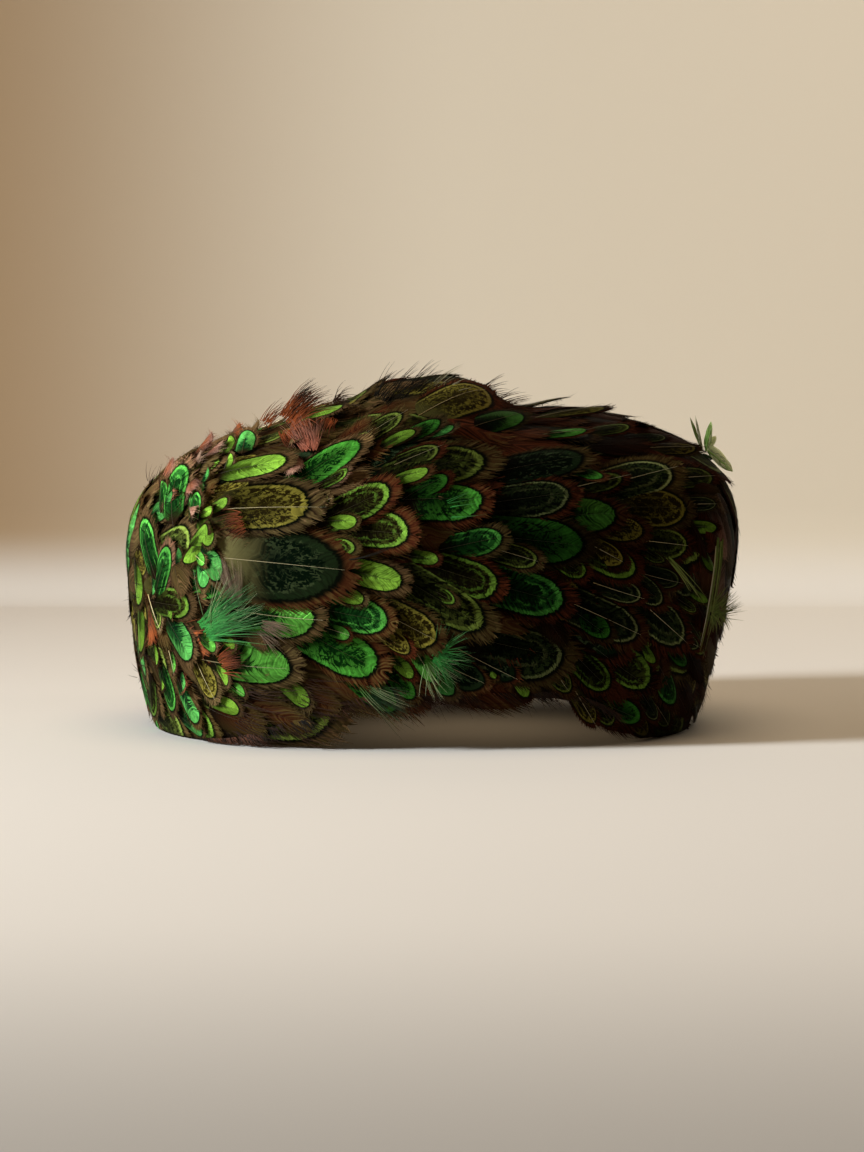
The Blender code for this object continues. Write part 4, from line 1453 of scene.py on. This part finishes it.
def makeShown(camera):
    draw = np.random.default_rng(21)
    directions, forward, width, kinds, loose, light = shownTable(camera)
    showsQuill = np.isin(kinds, [kindNames.index(name) for name in paleQuillKinds])
    isPale = showsQuill & (draw.random(shownLook["mostRows"])[: len(kinds)] < shownLook["paleQuills"])
    quillShare = np.where(isPale, 1.0, shownLook["darkQuill"])
    lift, rise = featherBuild["shownLift"], featherBuild["tipRise"]
    shown = featherTable(draw, directions, forward, width, kinds, lift, rise, quillShare, loose)
    shown["shade"] = shown["shade"] * light
    return shown, directions


def makeCover():
    draw = np.random.default_rng(22)
    look = coverRows
    cover = coverFeathers(draw)
    count = len(cover)
    points = capPoints(cover, 0.0)
    drawnBack = look["nearSlope"] * np.maximum(points[:, 2] - look["nearAbove"], 0.0)
    near = points[:, 1] < look["nearY"] - drawnBack
    onCrest = points[:, 2] > look["crestAbove"]
    onCrest = onCrest & (np.abs(points[:, 1]) < look["crestWithin"])
    atFront = near & (points[:, 0] < look["frontBefore"])
    atBack = near & (points[:, 0] > look["backBeyond"])
    kinds = pickedKinds(draw, look["mixedKinds"], count)
    places = {"nearKinds": near, "crestKinds": onCrest, "frontKinds": atFront, "backKinds": atBack}
    for names, where in places.items():
        kinds = np.where(where, pickedKinds(draw, look[names], count), kinds)
    width = look["width"] + look["widthSpread"] * draw.normal(0.0, 1.0, count)
    width = width * np.where(atFront, look["frontWidth"], 1.0)
    turn = look["turnSpread"] * draw.normal(0.0, 1.0, count)
    forward = turned(forwardAlongLay(cover), cover, turn)
    # a feather that would hang past the rim is turned up until its tip stays just short of it
    reach = (1.0 - featherBuild["anchor"]) * featherBuild["lengthToWidth"] * width
    rim = feltLook["sideLift"] * archShare(points + forward * reach[:, None])
    forward[:, 2] = np.maximum(forward[:, 2], (rim + look["tipAboveRim"] - points[:, 2]) / reach)
    onNearSide = points[:, 1] < look["riseBeyond"]
    rise = np.where(onNearSide, featherBuild["hiddenRise"], featherBuild["tipRise"])
    quillShare = np.where(draw.random(count) < look["paleQuills"], 1.0, look["usualQuill"])
    quillShare = np.where(near, look["nearQuill"], quillShare)
    loose = np.where(draw.random(count) < look["looseOnes"], look["looseness"], 0.0)
    return featherTable(draw, cover, forward, width, kinds, 0.0, rise, quillShare, loose), cover


hairLook = {"rings": 5, "taper": 0.88, "taperPower": 1.3, "floorClearance": 0.0006}


# Single hairs: P(t) = root + length (t heading + t^2 droop), as thin prisms. Roots, headings and
# droops are (count, 3), thicknesses and lengths are in metres. A lying hair keeps its root's height
# over the cap.
def hairArrays(draw, roots, headings, droops, lengths, thickness, kinds, lying=None):
    t = np.linspace(0.0, 1.0, hairLook["rings"])[None, :, None]
    centres = roots[:, None] + lengths[:, None, None] * (t * headings[:, None] + t**2 * droops[:, None])
    if lying is not None:
        away = centres - hatCentre
        size = np.linalg.norm(away, axis=-1)
        reach = capReach(away / size[..., None])
        height = size[:, :1] - reach[:, :1]
        onCap = hatCentre + away * ((reach + height) / size)[..., None]
        centres = np.where(lying[:, None, None], onCap, centres)
    centres[..., 2] = np.maximum(centres[..., 2], hairLook["floorClearance"])
    half = 0.5 * thickness[:, None] * (1.0 - hairLook["taper"] * t[:, :, 0] ** hairLook["taperPower"])
    random = draw.random(len(roots))
    carried = {"strand": random, "seed": random, "width": lengths, "tone": random}
    carried["shade"] = np.ones(len(roots))
    material = np.array([materialNames.index("hairs_" + kind) for kind in kinds])
    return prismArrays(centres, half, carried, material)


# Tufts of loose hairs and down as the photograph shows them. Pixels are of the root's middle and of
# the tip of the longest hair; spread is the root's width in pixels, fan is in degrees to each side,
# thick is in millimetres, bend turns the tips counter-clockwise by so many degrees.
looseTufts = [
    # rootX, rootY, tipX, tipY, hairs, spread, fan, thick, bend, colour
    (288, 420, 322, 386, 90, 26, 13, 0.42, -16, "rust"),
    (296, 414, 320, 384, 60, 20, 12, 0.34, -12, "black"),
    (268, 424, 288, 402, 24, 14, 16, 0.34, -10, "rust"),
    (336, 404, 358, 394, 36, 14, 35, 0.34, -30, "brown"),
    (382, 400, 404, 371, 30, 18, 14, 0.30, -14, "black"),
    (398, 394, 424, 367, 26, 16, 12, 0.30, -10, "black"),
    (416, 390, 442, 368, 22, 16, 12, 0.30, -10, "black"),
    (440, 390, 466, 373, 10, 20, 8, 0.40, -6, "cream"),
    (484, 396, 508, 386, 24, 18, 14, 0.30, -8, "brown"),
    (502, 406, 528, 399, 30, 16, 16, 0.30, -8, "redBrown"),
    (206, 630, 258, 595, 110, 22, 24, 0.42, -8, "emerald"),
    (214, 632, 248, 590, 40, 20, 30, 0.36, 0, "paleGreen"),
    (236, 604, 233, 560, 90, 10, 10, 0.26, 8, "plume"),
    (437, 656, 470, 668, 60, 14, 55, 0.30, -8, "emerald"),
    (430, 664, 450, 690, 34, 16, 40, 0.30, 10, "paleGreen"),
    (437, 656, 452, 628, 20, 10, 30, 0.25, 0, "emerald"),
    (372, 690, 416, 716, 44, 18, 16, 0.30, 4, "darkGreen"),
    (362, 684, 400, 712, 18, 14, 14, 0.28, 6, "paleGreen"),
    (714, 612, 735, 594, 70, 14, 26, 0.34, 0, "olive"),
    (716, 614, 724, 632, 30, 12, 24, 0.30, -10, "olive"),
    (720, 540, 701, 656, 12, 6, 2, 0.45, -6, "olive"),
    (717, 548, 702, 640, 5, 4, 2, 0.50, -6, "cream"),
    (158, 484, 160, 462, 12, 20, 18, 0.22, -12, "brown"),
    (138, 590, 126, 588, 8, 16, 22, 0.22, 0, "black"),
    (140, 670, 130, 664, 8, 30, 22, 0.22, 0, "brown"),
    (240, 716, 300, 738, 30, 60, 10, 0.30, 12, "brown"),
    (300, 706, 352, 722, 34, 60, 12, 0.30, 10, "brown"),
    (242, 522, 218, 528, 40, 20, 26, 0.34, 14, "rust"),
    (300, 428, 312, 446, 70, 24, 30, 0.40, -30, "rust"),
    (330, 418, 316, 434, 46, 18, 24, 0.40, 20, "rust"),
    (352, 560, 398, 556, 3, 2, 5, 0.40, 14, "black"),
    (668, 558, 702, 600, 8, 6, 4, 0.45, -4, "olive"),
    (310, 450, 306, 420, 80, 16, 26, 0.36, 14, "pink"),
    (290, 432, 300, 450, 60, 18, 24, 0.36, 20, "rust"),
    (262, 628, 290, 640, 50, 16, 18, 0.34, -10, "plume"),
    (222, 664, 246, 656, 50, 20, 24, 0.36, -14, "rust"),
    (450, 510, 478, 504, 8, 20, 14, 0.30, 0, "emerald"),
]
tuftLook = {
    # from the first of these heights to the second the sides' values give way to the crest's
    "crest": (0.095, 0.110),
    "lift": (0.0066, 0.0036),  # how far over the cap the tufts spring
    "mostTip": (2.0, 0.6),  # how far they may be tipped to run along the cap
    "lyingFrom": 0.0300,  # hairs longer than this lie along the cap
    "rootScatter": 3.0,  # in pixels, along the tuft
    "fanShares": (-0.7, 0.5),  # how much of the fan follows the place in the root, and how much is chance
    "outward": 0.22,
    "settle": 0.6,
    "bendShare": 0.8,
    "lengths": (0.55, 1.05),
    "leastFacing": 0.4,
}


# Each hair heads the way its tuft does in the picture, and is tipped to or from the camera so that it
# runs along the cap and neither dives into it nor stands straight off
def looseTuftArrays(camera):
    draw = np.random.default_rng(24)
    counts = np.array([row[4] for row in looseTufts])
    rows = np.repeat(np.arange(len(looseTufts)), counts)
    table = np.array([row[:9] for row in looseTufts], float)[rows]
    kinds = [looseTufts[row][9] for row in rows]
    roots, tips = table[:, 0:2], table[:, 2:4]
    along = unit(tips - roots)
    sideways = np.stack([-along[:, 1], along[:, 0]], axis=1)
    spread = draw.uniform(-0.5, 0.5, (len(rows), 1))
    scatter = draw.uniform(-tuftLook["rootScatter"], tuftLook["rootScatter"], (len(rows), 1))
    pixels = roots + sideways * table[:, 5:6] * spread + along * scatter
    guess = pixelDirections(camera, pixels, featherBuild["guessedHeight"])
    level = capPoints(guess, 0.0)[:, 2]
    mostTip = np.interp(level, tuftLook["crest"], tuftLook["mostTip"])
    lift = np.interp(level, tuftLook["crest"], tuftLook["lift"]) * layFlat(guess) + standOff(guess)
    directions = pixelDirections(camera, pixels, lift)
    start = capPoints(directions, lift)
    fanByPlace, fanByChance = tuftLook["fanShares"]
    fan = 2.0 * spread[:, 0] * fanByPlace + fanByChance * draw.normal(0.0, 1.0, len(rows))
    angle = np.arctan2(-along[:, 1], along[:, 0]) + np.radians(table[:, 6] * fan)
    bend = np.radians(table[:, 8])
    right, up = np.array([1.0, 0.0, 0.0]), np.array([0.0, 0.0, 1.0])
    normal = capNormals(directions)
    toward = unit(np.array(camera.location) - start)
    facing = np.maximum((toward * normal).sum(axis=1), tuftLook["leastFacing"])

    def heading(at):
        flat = right * np.cos(at)[:, None] + up * np.sin(at)[:, None]
        tip = np.clip((flat * normal).sum(axis=1) / facing, -mostTip, mostTip)
        return flat - toward * tip[:, None]

    outward = directions * tuftLook["outward"]
    droops = (heading(angle + bend) - heading(angle)) * tuftLook["bendShare"] - outward * tuftLook["settle"]
    fullLength = np.linalg.norm(tips - roots, axis=1) * pixelSize
    lengths = fullLength * draw.uniform(*tuftLook["lengths"], len(rows))
    # a long hair runs straight to the point of the cover that is under its tip in the picture
    lying = fullLength > tuftLook["lyingFrom"]
    ends = capPoints(pixelDirections(camera, pixels + tips - roots, lift), lift)
    straight = (ends - start) / fullLength[:, None]
    headings = np.where(lying[:, None], straight, heading(angle) + outward)
    droops = np.where(lying[:, None], 0.0, droops)
    thickness = table[:, 7] * 0.001
    return hairArrays(draw, start, headings, droops, lengths, thickness, kinds, lying), directions


# The lashes: barbs of the lowest feathers that hang past the rim's arches on both sides, in clumps
lashLook = {
    "hairs": 1300,
    "clumps": 150,
    "fromBearing": 40.0,
    "toBearing": 132.0,
    "clumpSpread": 1.1,
    "rootHeight": 0.0035,
    "rootLift": 0.0022,
    "length": 0.0078,
    "clumpLengths": (0.6, 1.2),
    "hairLengths": (0.7, 1.1),
    "thickness": 0.00030,
    "backward": 0.75,
    "backwardSpread": 0.35,
    "downward": 0.75,
    "outward": 0.20,
    "droop": 0.22,
    "droopSpread": 0.06,
    "kinds": ("brown", "brown", "black", "redBrown"),
}


def lashArrays():
    draw = np.random.default_rng(25)
    look = lashLook
    hairs, clumps = look["hairs"], look["clumps"]
    clump = draw.integers(0, clumps, hairs)
    clumpBearing = draw.uniform(look["fromBearing"], look["toBearing"], clumps)
    side = draw.choice([-1.0, 1.0], clumps)[clump]
    bearing = clumpBearing[clump] + draw.normal(0.0, look["clumpSpread"], hairs)
    bearing = np.radians(bearing) * side
    rim = capPoints(polarDirections(bearing, rimElevation(bearing, 0.0)), 0.0)
    directions = unit(rim + [0.0, 0.0, look["rootHeight"]] - hatCentre)
    start = capPoints(directions, look["rootLift"])
    tangent = np.stack([np.sin(np.abs(bearing)), np.cos(bearing) * side, 0.0 * bearing], axis=-1)
    lean = 1.0 + look["backwardSpread"] * draw.normal(0.0, 1.0, (hairs, 1))
    down = np.array([0.0, 0.0, -look["downward"]])
    outward = look["outward"] * directions * [1.0, 1.0, 0.0]
    headings = unit(tangent * look["backward"] * lean + down + outward)
    droops = look["droop"] * tangent + look["droopSpread"] * draw.normal(0.0, 1.0, (hairs, 3))
    lengths = look["length"] * draw.uniform(*look["clumpLengths"], clumps)[clump]
    lengths = lengths * draw.uniform(*look["hairLengths"], hairs)
    clumpKinds = draw.integers(0, len(look["kinds"]), clumps)
    kinds = np.array(look["kinds"])[clumpKinds][clump]
    thickness = np.full(hairs, look["thickness"])
    return hairArrays(draw, start, headings, droops, lengths, thickness, kinds), directions


# Sorts the points and faces of equal-sized shapes, such as hairs, by the piece that each belongs to
def pickShapes(arrays, count, keep):
    perShape = len(arrays["points"]) // count
    facesPerShape = len(arrays["faces"]) // count
    pointKeep, faceKeep = np.repeat(keep, perShape), np.repeat(keep, facesPerShape)
    picked = {key: arrays[key][pointKeep] for key in ("points", "vaneUv", "bakeUv", *pointAttributes)}
    newIndex = np.cumsum(pointKeep) - 1
    picked["faces"] = newIndex[arrays["faces"][faceKeep]]
    picked["material"] = arrays["material"][faceKeep]
    return picked


def featherPieces(camera):
    shown, shownDirections = makeShown(camera)
    cover, coverDirections = makeCover()
    table = joinTables([shown, cover])
    distance = layDistance(np.concatenate([shownDirections, coverDirections]))
    hairGroups = [looseTuftArrays(camera), lashArrays()]
    names = ["front_rosette"] + [f"feather_course_{n + 1}" for n in range(hatForm["courseCount"])]
    # a feather counts by its anchor
    rosetteEnd = hatForm["rosetteAnchors"] * hatForm["rosetteRadius"]
    starts = rosetteEnd + hatForm["coursePitch"] * np.arange(len(names) - 1)
    course = np.searchsorted(starts, distance)
    total = 0
    for number, nodeName in enumerate(names):
        keep = course == number
        part = sliceTable(table, keep)
        parts = [vaneArrays(part), fringeArrays(part), quillArrays(part)]
        for hairs, directions in hairGroups:
            mine = np.searchsorted(starts, layDistance(directions)) == number
            if mine.any():
                parts.append(pickShapes(hairs, len(directions), mine))
        arrays = joinArrays(parts)
        piece = meshFromArrays("feathers_" + nodeName, arrays, allMaterials)
        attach(piece, "root")
        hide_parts(nodeName)
        total += 2 * len(arrays["faces"])
        print(nodeName, "feathers", int(keep.sum()), "triangles", 2 * len(arrays["faces"]))
    print("feathers in all", len(distance), "triangles", total)


# The crown tuft's spikes: narrow leaves of fine barbs that close to a point. Pixels are of each
# spike's root and tip, the width is in pixels too, and behind is how much further from the camera its
# tip is, in millimetres: the leaf is turned to the light from the left.
tuftSpikes = [
    # rootX, rootY, tipX, tipY, width, behind, barbs, colour
    (702, 452, 690, 417, 4, -3, 26, "olive"),
    (703, 452, 695, 415, 3, 1, 20, "cream"),
    (705, 453, 711, 421, 8, -1, 60, "tuftGreen"),
    (707, 452, 712, 426, 4, 0, 30, "tuftPale"),
    (704, 448, 733, 472, 11, 12, 60, "tuftGreen"),
    (705, 444, 733, 471, 12, 12, 220, "tuftPale"),
    (708, 447, 716, 436, 8, 4, 60, "tuftPale"),
    (692, 455, 713, 459, 9, 3, 60, "darkGreen"),
    (690, 454, 668, 441, 8, -2, 34, "darkGreen"),
    (688, 454, 679, 437, 6, 2, 26, "black"),
]
spikeLook = {
    "depth": 0.0022,  # how far the barbs of one spike spread to the front and back
    "barbWidth": 0.00040,
    "barbTaper": 0.85,
    "rings": 6,
    "highestRoot": 0.75,  # a share of the spike's length
    "narrows": 0.6,
    "barbLengths": (0.85, 1.0),
}


# Along a spike, a barb leaves its axis at share s and follows along = s + (1-s) t,
# across = W/2 (1 - narrows s) sin(pi t^0.8)
def makeCrownTuft(camera):
    draw = np.random.default_rng(31)
    rows = np.repeat(np.arange(len(tuftSpikes)), [spike[6] for spike in tuftSpikes])
    table = np.array([spike[:6] for spike in tuftSpikes], float)[rows]
    depth = spikeLook["depth"] * draw.uniform(-1.0, 1.0, len(rows))
    roots = pixelPoints(camera, table[:, 0:2], depth)
    tips = pixelPoints(camera, table[:, 2:4], depth + 0.001 * table[:, 5])
    axis = tips - roots
    across = unit(np.cross(axis, np.array([0.0, 1.0, 0.0])))
    t = np.linspace(0.0, 1.0, spikeLook["rings"])[None, :]
    rootShare = draw.uniform(0.0, spikeLook["highestRoot"], (len(rows), 1))
    side = draw.uniform(-1.0, 1.0, (len(rows), 1))
    along = rootShare + (1.0 - rootShare) * t * draw.uniform(*spikeLook["barbLengths"], (len(rows), 1))
    width = table[:, 4:5] * pixelSize * (1.0 - spikeLook["narrows"] * rootShare)
    bow = 0.5 * width * side * np.sin(math.pi * t**0.8)
    centres = roots[:, None] + axis[:, None] * along[..., None] + across[:, None] * bow[..., None]
    half = 0.5 * spikeLook["barbWidth"] * (1.0 - spikeLook["barbTaper"] * t) + 0.0 * along
    random = draw.random(len(rows))
    carried = {name: random for name in pointAttributes}
    material = np.array([materialNames.index("hairs_" + tuftSpikes[row][7]) for row in rows])
    arrays = prismArrays(centres, half, carried, material)
    piece = meshFromArrays("crown_tuft_barbs", arrays, allMaterials)
    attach(piece, "root")
    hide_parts("back_crown_tuft")
    print("crown tuft made, triangles", 2 * len(arrays["faces"]))


# The pale set: a floor that sweeps up into a wall behind the hat
backdrop = {
    "wallBehind": 0.58,
    "sweepRadius": 0.05,
    "halfWidth": 2.5,
    "front": -2.2,
    "top": 2.4,
    "floorColour": (0.78, 0.74, 0.68),
    "wallColour": (0.690, 0.612, 0.488),
    # the paper is graded with painted shade: the floor is darker near the camera, between these Y, and the
    # wall on the left, between these X
    "foreShade": (0.484, 0.459, 0.422),
    "foreFrom": -0.70,
    "foreTo": -0.40,
    "wallShade": (0.347, 0.230, 0.122),
    "shadeFrom": -0.27,
    "shadeTo": 0.03,
    "wallFrom": 0.04,
}


def makeBackdropMaterial():
    material = makePlainMaterial("backdrop_paper", backdrop["floorColour"], 0.9)
    tree = material.node_tree
    place = tree.nodes.new("ShaderNodeTexCoord")
    split = tree.nodes.new("ShaderNodeSeparateXYZ")
    tree.links.new(place.outputs["Object"], split.inputs[0])
    wallMask = smoothMask(tree, split.outputs[2], 0.0, backdrop["wallFrom"])
    # painted shade on the wall's left and on the floor near the camera
    shadeMask = smoothMask(tree, split.outputs[0], backdrop["shadeFrom"], backdrop["shadeTo"])
    wall = mixColours(tree, shadeMask, backdrop["wallShade"], backdrop["wallColour"])
    foreShadeMask = smoothMask(tree, split.outputs[1], backdrop["foreFrom"], backdrop["foreTo"])
    floor = mixColours(tree, foreShadeMask, backdrop["foreShade"], backdrop["floorColour"])
    colour = mixColours(tree, wallMask, floor, wall)
    tree.links.new(colour, tree.nodes["Principled BSDF"].inputs["Base Color"])
    return material


# The profile runs back along the floor, round a quarter circle and up the wall; it is carried along X
def makeBackdrop():
    turn = np.linspace(0.0, math.pi / 2.0, 24)
    radius, wall = backdrop["sweepRadius"], backdrop["wallBehind"]
    y = np.concatenate([[backdrop["front"]], wall - radius + radius * np.sin(turn), [wall]])
    z = np.concatenate([[0.0], radius - radius * np.cos(turn), [backdrop["top"]]])
    x = np.array([-backdrop["halfWidth"], backdrop["halfWidth"]])
    points = np.stack(np.broadcast_arrays(x[None, :], y[:, None], z[:, None]), axis=-1).reshape(-1, 3)
    index = np.arange(len(y) * 2).reshape(-1, 2)
    faces = np.stack([index[:-1, 0], index[:-1, 1], index[1:, 1], index[1:, 0]], axis=-1)
    mesh = bpy.data.meshes.new("backdrop")
    mesh.from_pydata(points.tolist(), [], faces.tolist())
    mesh.materials.append(makeBackdropMaterial())
    mesh.shade_smooth()
    sheet = addObject("backdrop", mesh)
    print("backdrop made")


# Each light's place, what it points at, its width, its watts, its spread in degrees and its colour
lights = {
    "key": ((-1.90, -0.76, 0.82), (0.20, -0.05, 0.03), 0.46, 11.4, 70.0, (0.91, 0.96, 1.0)),
    "overhead": ((0.05, -0.25, 1.50), (0.05, -0.20, 0.0), 1.20, 3.7, 120.0, (1.0, 0.77, 0.52)),
    "wallWash": ((0.62, 0.06, 0.62), (0.22, 0.58, 0.40), 0.30, 0.75, 120.0, (1.0, 0.93, 0.84)),
    "bounce": ((0.02, -0.02, 0.050), (0.02, -0.04, 0.0), 0.09, 0.005, 160.0, (1.0, 0.76, 0.48)),
}
room = {"strength": 0.045, "colour": (1.0, 0.74, 0.46)}


def makeLights():
    for name, (place, target, size, watts, spread, colour) in lights.items():
        data = bpy.data.lights.new(name + "Light", "AREA")
        data.shape = "DISK"
        data.size = size
        data.energy = watts
        data.spread = math.radians(spread)
        data.color = colour
        lamp = addObject(name + "Light", data)
        lamp.location = place
        lamp.rotation_euler = (Vector(target) - Vector(place)).to_track_quat("-Z", "Y").to_euler()
        lamp.visible_camera = False
    world = bpy.data.worlds.new("room")
    bpy.context.scene.world = world
    world.use_nodes = True
    background = world.node_tree.nodes["Background"]
    background.inputs["Color"].default_value = (*room["colour"], 1.0)
    background.inputs["Strength"].default_value = room["strength"]
    bpy.context.scene.view_settings.view_transform = "Standard"
    print("lights made")


# The felt foundation: two faces a wall apart that meet at the rim, with a fibrous nap
feltLook = {
    "wall": 0.0022,
    "sideLift": 0.0170,
    "bearings": 96,
    "rings": 26,
    "lowestElevation": 60.0,  # degrees below hatCentre, lower than any point of the rim
    "crownHole": 1e-3,  # the small ring round the crown's middle, in radians, that one face closes
    "colour": (0.012, 0.007, 0.004),
    "paleFibre": (0.034, 0.021, 0.011),
    "fibresPerMetre": 900.0,
    "napDepth": 0.0008,
}


def polarDirections(bearing, elevation):
    flat = np.cos(elevation)
    return np.stack([-flat * np.cos(bearing), flat * np.sin(bearing), np.sin(elevation)], axis=-1)


# The elevation, seen from hatCentre, at which a face at this offset comes down to the rim; by halving
def rimElevation(bearing, offset):
    low = np.zeros(bearing.shape)
    high = np.full(bearing.shape, math.radians(feltLook["lowestElevation"]))
    for _ in range(30):
        middle = (low + high) / 2.0
        points = capPoints(polarDirections(bearing, -middle), offset)
        above = points[..., 2] > feltLook["sideLift"] * archShare(points)
        low, high = np.where(above, middle, low), np.where(above, high, middle)
    return -low


def makeFeltMaterial():
    material = makePlainMaterial("brown_felt", feltLook["colour"], 0.95)
    tree = material.node_tree
    shader = tree.nodes["Principled BSDF"]
    place = tree.nodes.new("ShaderNodeTexCoord")
    fibres = tree.nodes.new("ShaderNodeTexNoise")
    fibres.inputs["Scale"].default_value = feltLook["fibresPerMetre"]
    fibres.inputs["Detail"].default_value = 4.0
    fibres.inputs["Distortion"].default_value = 1.5
    tree.links.new(place.outputs["Object"], fibres.inputs["Vector"])
    fibreMask = smoothMask(tree, fibres.outputs[0], 0.45, 0.62)
    colour = mixColours(tree, fibreMask, feltLook["colour"], feltLook["paleFibre"])
    tree.links.new(colour, shader.inputs["Base Color"])
    shader.inputs["Specular IOR Level"].default_value = 0.05
    addBump(tree, fibres.outputs[0], feltLook["napDepth"], 0.7)
    return material


def makeFelt():
    bearing = np.arange(feltLook["bearings"]) * 2.0 * math.pi / feltLook["bearings"]
    share = np.linspace(0.0, 1.0, feltLook["rings"])[:, None]
    grids = []
    for offset in (-feltLook["wall"], 0.0):
        lowest = rimElevation(bearing, offset)
        elevation = lowest + (math.pi / 2.0 - feltLook["crownHole"] - lowest) * share
        grids.append(capPoints(polarDirections(np.broadcast_to(bearing, elevation.shape), elevation), offset))
    inner, outer = grids
    grid = np.concatenate([inner[::-1], outer])  # down the inner face, round the rim and up the outer one
    index = np.arange(grid.size // 3).reshape(grid.shape[:2])
    after = np.roll(index, -1, axis=1)
    quads = np.stack([index[:-1], index[1:], after[1:], after[:-1]], axis=-1).reshape(-1, 4)
    caps = [index[0].tolist(), index[-1][::-1].tolist()]
    mesh = bpy.data.meshes.new("felt_foundation")
    mesh.from_pydata(grid.reshape(-1, 3).tolist(), [], quads.tolist() + caps)
    mesh.shade_smooth()
    mesh.materials.append(makeFeltMaterial())
    felt = addObject("felt_foundation", mesh)
    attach(felt, "root")
    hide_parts("foundation_cap")
    print("felt foundation made")


camera = makeCamera()
makeBackdrop()
makeLights()
makeFelt()
featherPieces(camera)
makeCrownTuft(camera)
